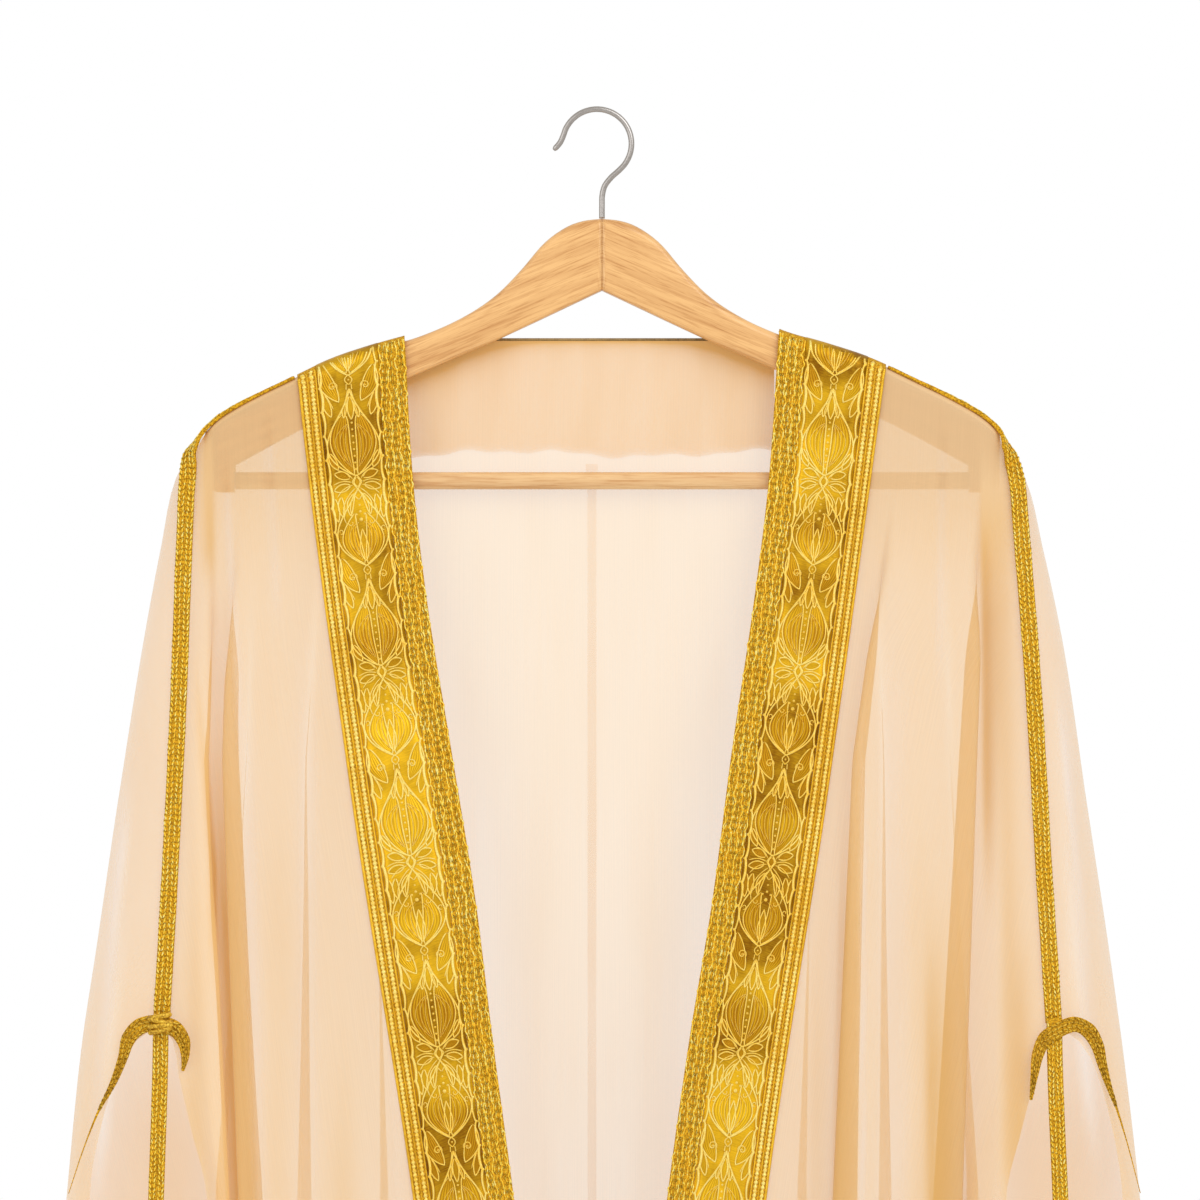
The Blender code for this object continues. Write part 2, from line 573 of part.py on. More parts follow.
def arm_braids(braid):
    """The flat braid over each arm seam, following the ridge, the tip and then the front."""
    for side in (LEFT, RIGHT):
        trees = tree_of([f"front_{SIDE_NAMES[side]}", f"back_{SIDE_NAMES[side]}"])
        lines, rises = [], []
        for offset, beside in BRAID_STRIPS:
            points, facings = seam_line(side, offset * MM)
            rise = np.max([laid_on(*seam_line(side, b * MM), trees, BRAID_LIFT) for b in beside], axis=0)
            rise[1:-1] = np.maximum(rise[1:-1], (rise[:-2] + rise[2:]) / 2)
            rise += TIP_LIFT * np.exp(-((points[:, 2] - TIP_LIFT_HEIGHT) / TIP_LIFT_REACH) ** 2)
            lines.append((points, facings))
            rises.append(rise)
        hanging = lines[0][0][:, 2] < BRAID_FLAT_BELOW
        rises = [np.where(hanging, np.max(rises, axis=0), rise) for rise in rises]
        inner = [p + f * r[:, None] for (p, f), r in zip(lines, rises)]
        outer = [p + f * (r[:, None] + TRIM) for (p, f), r in zip(lines, rises)]
        wall(f"arm_braid_{SIDE_NAMES[side]}", np.array(inner), np.array(outer), braid)


def ribbon(points, widths, thickness):
    """Rings of a flat ribbon whose face looks to the front, along points of its inner face."""
    points = np.array(points)
    steps = np.gradient(points, axis=0)
    steps /= np.linalg.norm(steps, axis=1, keepdims=True)
    across = np.cross(steps, [0.0, -1.0, 0.0])
    across /= np.linalg.norm(across, axis=1, keepdims=True)
    front = np.array([0.0, -thickness, 0.0])
    return [[p + a * w / 2 + front, p - a * w / 2 + front, p - a * w / 2, p + a * w / 2]
            for p, a, w in zip(points, across, widths)]


def standing_clear(points, widths, trees, gap):
    """Points brought forward until a ribbon of those widths clears what lies behind it."""
    facing = np.array([[0.0, -1.0, 0.0]] * len(points))
    points = np.array(points)
    steps = np.gradient(points, axis=0)
    across = np.cross(steps, [0.0, -1.0, 0.0])
    across /= np.linalg.norm(across, axis=1, keepdims=True)
    widths = np.maximum(np.array(widths), 5.0 * MM)[:, None]
    front = points[:, 1] - np.max([laid_on(points + across * widths * k, facing, trees, gap)
                                   for k in (-0.6, -0.3, 0.03, 0.3, 0.6)], axis=0)
    padded = np.concatenate([front[:1], front, front[-1:]])
    points[:, 1] = np.min([padded[:-2], front, padded[2:]], axis=0)
    return points


def slit_pieces(braid):
    """The tail that hangs from each seam's end, the arch of braid round the slit, and the left knot."""
    for side in (LEFT, RIGHT):
        name = SIDE_NAMES[side]
        seam = float(side_curve(ARM_SEAM, side, KNOT_HEIGHT))
        under = [f"front_{name}", f"back_{name}"]
        heights = np.linspace(TAIL_TOP, TAIL_END, 14)
        sway = TAIL_SWAY[side] * MM * smooth((TAIL_TOP - heights) / 0.15)
        behind = -float(seam_depth(KNOT_HEIGHT)) - CLOTH
        tail = np.stack([side * seam + sway, np.full(heights.shape, behind), heights], -1)
        widths = [TAIL_WIDTH] * len(heights)
        tail = standing_clear(tail, widths, tree_of(under), GAP + 0.6 * MM)
        tail[:, 1] = tail[:, 1].min()
        loft(f"braid_tail_{name}", ribbon(tail, widths, TAIL_THICKNESS), braid)

        arch = [[side * (seam + out * MM), 0.0, height * MM] for out, height, _ in ARCH[side]]
        widths = [width * MM for _, _, width in ARCH[side]]
        over = tree_of(under + [f"arm_braid_{name}", f"braid_tail_{name}"])
        arch = standing_clear(arch, widths, over, GAP + 0.4 * MM)
        loft(f"slit_braid_{name}", ribbon(arch, widths, TRIM), braid)

        if side == RIGHT:
            continue
        mesh = bpy.data.meshes.new(f"slit_knot_{name}")
        edit = bmesh.new()
        bmesh.ops.create_uvsphere(edit, u_segments=10, v_segments=6, radius=1.0)
        bmesh.ops.scale(edit, verts=edit.verts, vec=KNOT_SIZE)
        spots = [[side * (seam + x * MM), 0.0, KNOT_PLACE + z * MM] for x in (-3, 0, 3) for z in (-3, 0, 3)]
        rise = laid_on(spots, [[0.0, -1.0, 0.0]] * len(spots), tree_of([f"slit_braid_{name}"]), GAP).max()
        bmesh.ops.translate(edit, verts=edit.verts, vec=(side * seam, -rise - KNOT_SIZE[1], KNOT_PLACE))
        edit.to_mesh(mesh)
        edit.free()
        mesh.shade_smooth()
        mesh.materials.append(material(mesh.name, braid))
        bpy.context.collection.objects.link(bpy.data.objects.new(mesh.name, mesh))


def hanger(wood, steel):
    """Two wooden arms that meet at a mitre, the round bar between their heels, and the wire hook."""
    stations = np.array([0.15, 10, 19, 26, 32, 38, 45, 51, 58, 66, 74, 87, 100, 125, 150, 170, 190,
                         (HEEL_FACE - 0.2 * MM) / MM, (HEEL_FACE + 0.2 * MM) / MM, 212, 218, BOARD_END / MM]) * MM
    for side in (LEFT, RIGHT):
        rings = []
        for x in stations:
            top = float(board_top(x))
            foot = float(curve(BOARD_FOOT, x)) if x < HEEL_FACE else HEEL_FOOT * MM
            end = smooth((x - 0.2125) / (BOARD_END - 0.2125))
            half = BOARD_HALF - 2.2 * MM * end
            foot, c = foot + 2.5 * MM * end, BOARD_CHAMFER - 1.5 * MM * end
            low = 2.5 * MM
            ring = [(-half + c, top), (half - c, top), (half, top - c), (half, foot + low),
                    (half - low, foot), (-half + low, foot), (-half, foot + low), (-half, top - c)]
            rings.append([(side * x, y, z) for y, z in ring])
        loft(f"hanger_arm_{SIDE_NAMES[side]}", rings, wood)

    ring = np.linspace(0, 2 * np.pi, 13)[:-1]
    bar_end = HEEL_FACE - 0.5 * MM
    rings = [[(x, BAR_RADIUS * np.cos(a), BAR_HEIGHT + BAR_RADIUS * np.sin(a)) for a in ring]
             for x in (-bar_end, 0.0, bar_end)]
    loft("hanger_bar", rings, wood)

    turns = np.radians(np.linspace(-48, 166, 20))
    cx, cz = HOOK_CENTRE
    bend = [(cx + HOOK_RADIUS * np.cos(a), cz + HOOK_RADIUS * np.sin(a)) for a in turns]
    stem_top = float(board_top(0.0)) + GAP
    stem = [(0.0, stem_top), (0.0, stem_top + 7 * MM), (0.2 * MM, -46.0 * MM), (1.5 * MM, -41.2 * MM),
            (4.7 * MM, -36.8 * MM)]
    tip = [(bend[-1][0] - 1.6 * MM, bend[-1][1] - 3.6 * MM), (bend[-1][0] - 5.4 * MM, bend[-1][1] - 8.2 * MM)]
    line = np.array([(x, 0.0, z) for x, z in stem + bend + tip])
    steps = np.gradient(line, axis=0)
    steps /= np.linalg.norm(steps, axis=1, keepdims=True)
    steps[0] = (0, 0, 1)
    ring = np.linspace(0, 2 * np.pi, 9)[:-1]
    rings = []
    for p, s in zip(line, steps):
        beside = np.cross(s, [0.0, 1.0, 0.0])
        rings.append([p + WIRE_RADIUS * (np.cos(a) * beside + np.sin(a) * np.array([0, 1.0, 0])) for a in ring])
    loft("hanger_hook", rings, steel)


def main():
    for old in list(bpy.data.objects):
        bpy.data.objects.remove(old, do_unlink=True)
    front_panels(CLOTH_FINISH)
    back_panels(CLOTH_FINISH)
    band_pieces(GOLD_FINISH, BRAID_FINISH)
    yoke(CLOTH_FINISH)
    seam_strip(CLOTH_FINISH)
    piping(PIPING_FINISH)
    arm_braids(BRAID_FINISH)
    slit_pieces(BRAID_FINISH)
    hanger(WOOD_FINISH, STEEL_FINISH)


main()
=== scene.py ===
"""Look of a sheer bisht cloak with wide gold bands, hung open on a wooden suit hanger.

Metres, +Z up, the open front towards -Y, so the left of the picture is -X.  The cloth
follows the surfaces of the solids it stands for, on finer grids.  Gold ornament is drawn
flat in millimetres, as distance across, distance down and height above the cloth, and a
lay function then carries it onto the cloth.
"""

import logging
from collections.abc import Callable, Sequence
from dataclasses import dataclass, field
from enum import Enum
from typing import Any

import bpy
import numpy as np
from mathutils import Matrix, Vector
from mathutils.bvhtree import BVHTree
from numpy.typing import NDArray


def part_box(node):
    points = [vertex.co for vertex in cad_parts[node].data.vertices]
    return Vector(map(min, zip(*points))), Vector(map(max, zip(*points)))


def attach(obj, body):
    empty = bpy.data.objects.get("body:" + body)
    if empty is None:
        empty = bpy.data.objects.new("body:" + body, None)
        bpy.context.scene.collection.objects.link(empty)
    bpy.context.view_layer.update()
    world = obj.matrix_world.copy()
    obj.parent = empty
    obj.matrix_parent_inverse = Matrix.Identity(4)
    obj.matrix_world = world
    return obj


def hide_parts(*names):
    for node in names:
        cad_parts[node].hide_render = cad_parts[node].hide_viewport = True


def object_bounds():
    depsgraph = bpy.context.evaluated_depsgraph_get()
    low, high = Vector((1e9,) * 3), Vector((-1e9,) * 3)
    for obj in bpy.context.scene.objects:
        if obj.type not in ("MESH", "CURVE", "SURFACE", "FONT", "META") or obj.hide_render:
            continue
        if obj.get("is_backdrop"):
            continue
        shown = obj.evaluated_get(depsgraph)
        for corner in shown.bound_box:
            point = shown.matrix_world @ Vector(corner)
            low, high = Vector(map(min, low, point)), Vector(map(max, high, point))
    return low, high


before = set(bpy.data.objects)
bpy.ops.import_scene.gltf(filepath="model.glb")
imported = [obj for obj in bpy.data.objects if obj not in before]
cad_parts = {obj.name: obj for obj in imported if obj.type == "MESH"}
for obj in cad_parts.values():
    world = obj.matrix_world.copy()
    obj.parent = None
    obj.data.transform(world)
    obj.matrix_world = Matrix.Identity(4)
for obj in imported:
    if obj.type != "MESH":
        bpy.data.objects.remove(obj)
CAD_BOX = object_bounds()

log = logging.getLogger("bisht")
Array = NDArray[np.float64]
Lay = Callable[[Array, Array, Array], Array]
MM = 0.001
BODY = "root"
FULL_TURN = 6.2832


class Side(Enum):
    """A side of the picture."""

    LEFT = -1
    RIGHT = 1

    @property
    def word(self) -> str:
        """The side's name as the nodes spell it."""
        return self.name.lower()

    @property
    def column(self) -> int:
        """The side's column in a table of heights and distances."""
        return 1 if self is Side.LEFT else 2


# Height, then distance from the middle on the left and on the right, in millimetres
FRONT_EDGE = [(-120, 109.7, 98.2), (-207, 104.5, 92.2), (-274, 96.5, 83.8), (-355, 83.0, 71.6),
              (-438, 69.5, 60.6), (-514, 60.0, 47.9), (-603, 48.0, 35.4), (-700, 36.5, 24.5),
              (-800, 29.0, 17.0), (-950, 24.0, 12.0), (-1720, 22.0, 10.0)]
BAND_EDGE = [(-120, 170.5, 160.0), (-146, 169.0, 156.9), (-371, 139.8, 125.7), (-604, 103.4, 90.0),
             (-700, 92.0, 80.0), (-800, 85.0, 73.0), (-950, 80.0, 68.0), (-1720, 78.0, 66.0)]
ARM_SEAM = [(-179, 221.6, 221.6), (-188, 226.0, 223.6), (-203, 229.5, 229.4), (-229, 230.9, 231.9),
            (-328, 234.0, 238.8), (-420, 238.0, 243.5), (-507, 242.6, 248.7), (-560, 246.0, 251.0),
            (-720, 250.0, 255.0), (-1000, 256.0, 259.0), (-1720, 268.0, 270.0)]
SIDE_LINE = [(-179, 222.0, 222.0), (-188, 227.6, 225.4), (-203, 236.0, 234.4), (-242, 244.6, 244.4),
             (-296, 254.6, 255.8), (-381, 268.1, 268.5), (-466, 280.7, 281.4), (-514, 288.0, 288.0),
             (-604, 297.0, 298.4), (-700, 305.0, 306.0), (-900, 314.0, 315.0), (-1200, 324.0, 324.0),
             (-1720, 336.0, 336.0)]
# Height, then how far the front and the back stand from the middle plane
DEPTHS = [(-120, 7.4, 8.9), (-205, 7.6, 8.9), (-300, 16.0, 14.0), (-400, 24.0, 21.0), (-600, 34.0, 30.0),
          (-1000, 42.0, 38.0), (-1720, 46.0, 42.0)]
# Height, then how far the hand slit's front and back lips part
SLIT = [(-506, 0, 0), (-514, 7, 13), (-530, 11, 21), (-560, 20, 29), (-604, 31, 34), (-650, 24, 27),
        (-700, 8, 8), (-725, 0, 0)]
# Distance from the middle, height of an arm's upper edge, then of its lower edge
BOARD_TOP = [(0, -59.5), (10, -60.6), (19, -63.7), (32, -72.9), (45, -88.0), (58, -101.2), (74, -112.4),
             (100, -124.4), (125, -131.8), (150, -140.2), (170, -149.6), (200, -164.6), (212, -172.2),
             (220.7, -180.0)]
BOARD_FOOT = [(0, -99.3), (58, -126.5), (111, -149.6), (170, -178.0), (204, -196.5)]


@dataclass(frozen=True)
class Fold:
    """An S-fold: its place at three heights, cloth taken up and turn at two, step and start."""

    place: tuple[float, float, float]
    cloth: tuple[float, float]
    turn: tuple[float, float]
    step: int
    start: float


@dataclass(frozen=True)
class Crease:
    """A soft trough (or ridge, where depth is negative) down a panel.

    places are (height, distance from the middle) in metres; near and far are its widths
    towards the middle and away from it, and tone is painted shade, how much denser and darker
    it makes the cloth; a negative tone is painted highlight, clearer and paler.
    """

    places: tuple[tuple[float, float], ...]
    near: float
    far: float
    depth: float = 0.0
    tone: float = 0.0
    ease: float = 0.06

    def share(self, x: Array, z: Array) -> Array:
        """1 on the crease's line, falling as a Gaussian to each side and eased at both ends."""
        heights = np.array([p[0] for p in self.places])
        middle = np.interp(z, heights[::-1], [p[1] for p in self.places[::-1]])
        inside = smooth((heights.max() - z) / self.ease) * smooth((z - heights.min()) / self.ease)
        away = x - middle
        return inside * np.exp(-(away / np.where(away < 0, self.near, self.far)) ** 2)


@dataclass(frozen=True)
class Hang:
    """How the cloak hangs: the sizes that its solids are made with, in metres."""

    trim_lift: float = 1.55 * MM
    ridge_clearance: float = 1.4 * MM
    tip: float = 221.6 * MM
    tip_height: float = -178.6 * MM
    neckline: float = -127.3 * MM
    centre_back: float = -5.6 * MM
    flap_start: float = 10.0 * MM
    hem_middle: float = -1.545
    hem_drop: float = 0.05
    hem_reach: float = 0.30
    place_heights: tuple[float, float, float] = (-0.18, -0.36, -0.60)
    high: float = -0.30
    low: float = -0.60
    fold_growth: float = 0.11
    free_cloth: float = 0.2
    band_end: float = -0.83


HANG = Hang()
FRONT_FOLDS = {
    Side.LEFT: (Fold((202, 205, 193), (26, 36), (160, 180), -1, -0.213),
                Fold((214, 219, 207), (20, 22), (118, 125), 1, -0.213)),
    Side.RIGHT: (Fold((166, 142, 134), (24, 38), (150, 184), 1, -0.20),
                 Fold((211, 201, 189), (28, 40), (156, 186), -1, -0.20)),
}
BACK_FOLDS = {
    Side.LEFT: (Fold((98, 90, 76), (14, 22), (60, 120), 1, -0.34),
                Fold((114, 126, 122), (16, 26), (70, 135), -1, -0.27),
                Fold((154, 166, 168), (18, 28), (90, 150), 1, -0.22),
                Fold((192, 198, 214), (18, 28), (90, 140), -1, -0.22)),
    Side.RIGHT: (Fold((98, 86, 68), (14, 22), (60, 120), 1, -0.36),
                 Fold((114, 118, 112), (16, 26), (70, 140), -1, -0.25),
                 Fold((152, 158, 160), (18, 28), (90, 145), 1, -0.23),
                 Fold((190, 194, 208), (18, 28), (90, 150), -1, -0.22)),
}


def smooth(x: Array | float) -> Array:
    """Ease from 0 to 1 as x goes from 0 to 1: 3x^2 - 2x^3."""
    x = np.clip(x, 0.0, 1.0)
    return x * x * (3.0 - 2.0 * x)


def hermite(t: Array, h: Array, ends: tuple[Array, Array], slopes: tuple[Array, Array]) -> Array:
    """The cubic through two ends with two slopes, at the share t of a step h."""
    return ((2 * t**3 - 3 * t**2 + 1) * ends[0] + (t**3 - 2 * t**2 + t) * h * slopes[0]
            + (3 * t**2 - 2 * t**3) * ends[1] + (t**3 - t**2) * h * slopes[1])


def curve(rows: Sequence[tuple[float, ...]], at: Array | float, column: int = 1) -> Array:
    """A cubic Hermite line through a table's rows.

    Args:
        rows: the table, in millimetres, its first column the place.
        at: where to read it, in metres.
        column: which column to read.

    Returns:
        The column's values in metres.
    """
    table = np.array(rows, float)
    table = table[np.argsort(table[:, 0])] * MM
    x, y = table[:, 0], table[:, column]
    slopes = np.diff(y) / np.diff(x)
    tangents = np.concatenate([slopes[:1], (slopes[1:] + slopes[:-1]) / 2.0, slopes[-1:]])
    tangents[1:-1] = np.where(slopes[1:] * slopes[:-1] <= 0.0, 0.0, tangents[1:-1])
    at = np.clip(np.asarray(at, float), x[0], x[-1])
    i = np.clip(np.searchsorted(x, at) - 1, 0, len(x) - 2)
    h = x[i + 1] - x[i]
    return hermite((at - x[i]) / h, h, (y[i], y[i + 1]), (tangents[i], tangents[i + 1]))


def board_top(x: Array | float) -> Array:
    """Height of an arm's upper edge at a distance from the middle."""
    return curve(BOARD_TOP, np.abs(x))


def ridge(x: Array | float) -> Array:
    """Height of the cloth over the arm, at a distance from the middle, level past its tip."""
    return board_top(np.minimum(np.abs(x), HANG.tip)) + HANG.ridge_clearance


def hem(x: Array | float) -> Array:
    """Height of the hem: lower by the square of the distance from the middle."""
    return HANG.hem_middle - HANG.hem_drop * (np.abs(x) / HANG.hem_reach) ** 2


def over_ridge(below: Array) -> Array:
    """A quarter ellipse: 0 on the ridge, 1 from the board's rounding below it."""
    return np.sqrt(np.maximum(1.0 - (1.0 - np.clip(below / 0.006, 0.0, 1.0)) ** 2, 0.0))


def fold_path(q: Array, turn: Array) -> tuple[Array, Array]:
    """Where an S-fold of unit length has got to after the share q.

    The cloth's direction turns by turn * sin(pi q)^2 and the path is its integral.
    """
    steps = (np.arange(24) + 0.5) / 24
    q, turn = np.broadcast_arrays(np.asarray(q, float), np.asarray(turn, float))
    angle = turn[..., None] * np.sin(np.pi * q[..., None] * steps) ** 2
    return q * np.cos(angle).mean(-1), q * np.sin(angle).mean(-1)


def fold_sizes(fold: Fold, height: Array) -> tuple[Array, Array, Array]:
    """A fold's place, cloth and turn at a height, each straight between its stated values."""
    share = np.clip((HANG.high - height) / (HANG.high - HANG.low), 0.0, 1.2)
    grown = smooth((fold.start - height) / HANG.fold_growth)
    place = np.interp(height, HANG.place_heights[::-1], fold.place[::-1])
    cloth = fold.cloth[0] + (fold.cloth[1] - fold.cloth[0]) * share
    turn = fold.turn[0] + (fold.turn[1] - fold.turn[0]) * share
    cloth = cloth * MM * (HANG.free_cloth + (1 - HANG.free_cloth) * grown)
    return place * MM, cloth, np.radians(turn) * grown


def folded(across: Array, height: Array, folds: Sequence[Fold], start: Array,
           end: Array) -> tuple[Array, Array]:
    """Distance from the middle, and distance out, at stations from start to end.

    Plain stretches and folds take turns, one unit of `across` each.  Each fold follows
    fold_path from where the last stretch ended, and the last stretch ends level.
    """
    along = np.array(start, float) + np.zeros_like(across)
    out = np.zeros_like(across)
    level = np.zeros_like(across)
    last = along.copy()
    for number, fold in enumerate(folds):
        place, cloth, turn = fold_sizes(fold, height)
        span, rise = fold_path(1.0, turn)
        begin = place - span * cloth / 2
        plain = np.clip(across - 2 * number, 0.0, 1.0)
        inside = np.clip(across - 2 * number - 1, 0.0, 1.0)
        on_plain = (across >= 2 * number) & (across <= 2 * number + 1)
        on_fold = (across > 2 * number + 1) & (across <= 2 * number + 2)
        x, y = fold_path(inside, turn)
        along = np.where(on_plain, last + (begin - last) * plain, along)
        out = np.where(on_plain, level, out)
        along = np.where(on_fold, begin + cloth * x, along)
        out = np.where(on_fold, level + fold.step * cloth * y, out)
        last = begin + span * cloth
        level = level + fold.step * rise * cloth
    rest = np.clip(across - 2 * len(folds), 0.0, 1.0)
    on_rest = across >= 2 * len(folds)
    along = np.where(on_rest, last + (end - last) * rest, along)
    return along, np.where(on_rest, level * (1.0 - smooth(rest)), out)


def slit_lip(height: Array, column: int) -> Array:
    """How far a lip of the hand slit stands from the seam's line."""
    return np.where((height < -0.506) & (height > -0.725), curve(SLIT, height, column), 0.0)


def tip_zone(height: Array) -> Array:
    """1 round the shoulder's tip and 0 below it."""
    return smooth((height + 0.215) / 0.02)


def seam_depth(height: Array) -> Array:
    """How far forward the arm seam is: none at the shoulder's tip, the front's depth below it."""
    return curve(DEPTHS, height) * over_ridge((HANG.tip_height - height) / 1.9)


def front_section(side: Side, across: Array, height: Array) -> tuple[Array, Array]:
    """A front at a height: straight under the band, then folded() from the band to the seam."""
    inner = curve(FRONT_EDGE, height, side.column)
    band = curve(BAND_EDGE, height, side.column)
    seam = curve(ARM_SEAM, np.minimum(height, HANG.tip_height), side.column)
    seam = seam - slit_lip(height, 1) - 1.4 * MM * tip_zone(height)
    folds = FRONT_FOLDS[side]
    along, out = folded(np.maximum(across - 1.0, 0.0), height, folds, band, seam)
    along = np.where(across < 1.0, inner + (band - inner) * across, along)
    lip = smooth(across - 2 * len(folds) - 1.0) * slit_lip(height, 1)
    return along, curve(DEPTHS, height) + out + 0.25 * lip


def front_surface(side: Side, across: Array, down: Array) -> Array:
    """Points of a front.  down is 0 on the ridge and 1 at the hem, straight between them."""
    across, down = np.broadcast_arrays(np.asarray(across, float), np.asarray(down, float))
    height = -0.15 * (1 - down) + HANG.hem_middle * down
    for _ in range(5):
        along, _ = front_section(side, across, height)
        height = ridge(along) * (1 - down) + hem(along) * down
    along, depth = front_section(side, across, height)
    edge = np.maximum(across - 2 * len(FRONT_FOLDS[side]) - 1.0, 0.0)
    rounding = over_ridge((ridge(along) - height) * (1 - edge * 0.47))
    return np.stack([side.value * along, -depth * rounding, height], -1)


def back_section(side: Side, across: Array, height: Array) -> tuple[Array, Array]:
    """The back at a height: folds, a quarter circle at the side, then a flap turned to the seam."""
    folds = BACK_FOLDS[side]
    plain_end = 2 * len(folds) + 1
    middle = side.value * HANG.centre_back
    line = curve(SIDE_LINE, np.minimum(height, HANG.tip_height), side.column)
    seam = curve(ARM_SEAM, np.minimum(height, HANG.tip_height), side.column)
    lip_at = seam + slit_lip(height, 2) + 0.5 * MM * tip_zone(height)
    rounding = 0.009 + 0.024 * smooth((-0.19 - height) / 0.4)
    along, out = folded(np.minimum(across, plain_end), height, folds, middle, line - rounding)
    depth = curve(DEPTHS, height, 2)
    corner = np.clip(across - plain_end, 0.0, 1.0) * np.pi / 2
    along = np.where(across > plain_end, line - rounding * (1 - np.sin(corner)), along)
    back = (depth + out) * np.where(across > plain_end, np.cos(corner), 1.0)
    reach = np.maximum(line - seam, 0.0004)
    lip_angle = np.arccos(np.clip(1.0 - (line - lip_at) / reach, 0.0, 1.0))
    turn = np.clip(across - plain_end - 1, 0.0, 1.0) * lip_angle
    along = np.where(across > plain_end + 1, line - reach * (1 - np.cos(turn)), along)
    front = (seam_depth(height) + 0.25 * slit_lip(height, 2)) * np.sin(turn)
    return along, np.where(across > plain_end + 1, -front, back)


def back_surface(side: Side, across: Array, down: Array) -> Array:
    """Points of a half of the back.  down is 0 at the neckline and ridge and 1 at the hem."""
    across, down = np.broadcast_arrays(np.asarray(across, float), np.asarray(down, float))
    plain_end = 2 * len(BACK_FOLDS[side]) + 1
    flap = np.clip(across - plain_end - 0.3, 0.0, 1.7) / 1.7
    height = -0.15 * (1 - down) + HANG.hem_middle * down
    for _ in range(5):
        along, _ = back_section(side, across, height)
        top = np.minimum(ridge(along), HANG.neckline)
        top = np.where(flap > 0, np.minimum(top, HANG.tip_height - HANG.flap_start * flap), top)
        height = top * (1 - down) + hem(along) * down
    along, depth = back_section(side, across, height)
    rounding = np.where(depth > 0, over_ridge(ridge(along) - height), 1.0)
    return np.stack([side.value * along, depth * rounding, height], -1)


def grid_faces(rows: int, columns: int, wrap: bool = False) -> NDArray[np.int64]:
    """Quads between neighbouring rows and columns of a grid; wrap joins the last column to the first."""
    i, j = np.meshgrid(np.arange(rows - 1), np.arange(columns if wrap else columns - 1), indexing="ij")
    k = (j + 1) % columns
    quads = [i * columns + j, i * columns + k, (i + 1) * columns + k, (i + 1) * columns + j]
    return np.stack(quads, -1).reshape(-1, 4)


def unit(vectors: Array) -> Array:
    """Vectors divided by their length."""
    return vectors / np.maximum(np.linalg.norm(vectors, axis=-1, keepdims=True), 1e-12)


def grid_normals(points: Array) -> Array:
    """Unit normals of a grid of points: the cross product of its steps along columns and rows."""
    return unit(np.cross(np.gradient(points, axis=1), np.gradient(points, axis=0)))


def grid_lengths(points: Array) -> Array:
    """The cloth's own coordinates: distance walked along each row, and down each column."""
    across = np.linalg.norm(np.diff(points, axis=1), axis=-1)
    down = np.linalg.norm(np.diff(points, axis=0), axis=-1)
    u = np.concatenate([np.zeros((len(points), 1)), np.cumsum(across, axis=1)], axis=1)
    v = np.concatenate([np.zeros((1, points.shape[1])), np.cumsum(down, axis=0)], axis=0)
    return np.stack([u, v], -1)


def make_mesh(name: str, points: Array, faces: NDArray[np.int64], uv: Array | None = None,
              values: dict[str, Array] | None = None) -> bpy.types.Object:
    """A mesh object at the origin.

    Args:
        name: the piece's name.
        points: corners, in metres.
        faces: corner numbers, a row for each face.
        uv: a place on the pattern for each corner.
        values: named numbers for each corner.

    Returns:
        The new object, shaded smooth.
    """
    mesh = bpy.data.meshes.new(name)
    count, corners = faces.shape
    mesh.vertices.add(len(points))
    mesh.vertices.foreach_set("co", np.ascontiguousarray(points, dtype=np.float32).ravel())
    mesh.loops.add(count * corners)
    mesh.loops.foreach_set("vertex_index", faces.ravel().astype(np.int32))
    mesh.polygons.add(count)
    mesh.polygons.foreach_set("loop_start", (np.arange(count) * corners).astype(np.int32))
    mesh.update(calc_edges=True)
    if uv is not None:
        layer = mesh.uv_layers.new(name="UVMap")
        layer.uv.foreach_set("vector", uv[faces.ravel()].astype(np.float32).ravel())
    for key, numbers in (values or {}).items():
        attribute = mesh.attributes.new(key, "FLOAT", "POINT")
        attribute.data.foreach_set("value", numbers.astype(np.float32).ravel())
    mesh.shade_smooth()
    made = bpy.data.objects.new(name, mesh)
    bpy.context.scene.collection.objects.link(made)
    return made


def dress(piece: bpy.types.Object, finish: "Finish", slot: str,
          nodes: Sequence[str] = ()) -> bpy.types.Object:
    """Give a piece its material, let it ride, and hide the nodes it stands for."""
    piece.data.materials.append(finish.material())
    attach(piece, BODY)
    if nodes:
        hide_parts(*nodes)
    log.info("%s: %d faces", piece.name, len(piece.data.polygons))
    return piece


def closed_wall(name: str, inner: Array, outer: Array, uv: Array) -> bpy.types.Object:
    """A closed wall between two grids of points, its rims quads between their borders."""
    rows, columns = inner.shape[:2]
    count = rows * columns
    sheet = grid_faces(rows, columns)
    faces = [sheet + count, sheet[:, ::-1]]
    i = np.arange(rows - 1)
    j = np.arange(columns - 1)
    for start, step, walk, turned in ((0, columns, i, True), (columns - 1, columns, i, False),
                                      (0, 1, j, False), ((rows - 1) * columns, 1, j, True)):
        a = start + walk * step
        b = a + step
        rim = np.stack([a, b, b + count, a + count], -1)
        faces.append(rim[:, ::-1] if turned else rim)
    points = np.concatenate([inner.reshape(-1, 3), outer.reshape(-1, 3)])
    return make_mesh(name, points, np.concatenate(faces), np.concatenate([uv.reshape(-1, 2)] * 2))


def read_faces(piece: bpy.types.Object, what: str) -> Array:
    """Each face's normal or centre."""
    values = np.empty(len(piece.data.polygons) * 3, np.float32)
    piece.data.polygons.foreach_get(what, values)
    return values.reshape(-1, 3)


def outward(piece: bpy.types.Object, wanted: Sequence[float]) -> bpy.types.Object:
    """Turn a piece's faces over if their mean normal points away from the wanted direction."""
    if (read_faces(piece, "normal") @ np.array(wanted, np.float32)).sum() < 0:
        piece.data.flip_normals()
    return piece


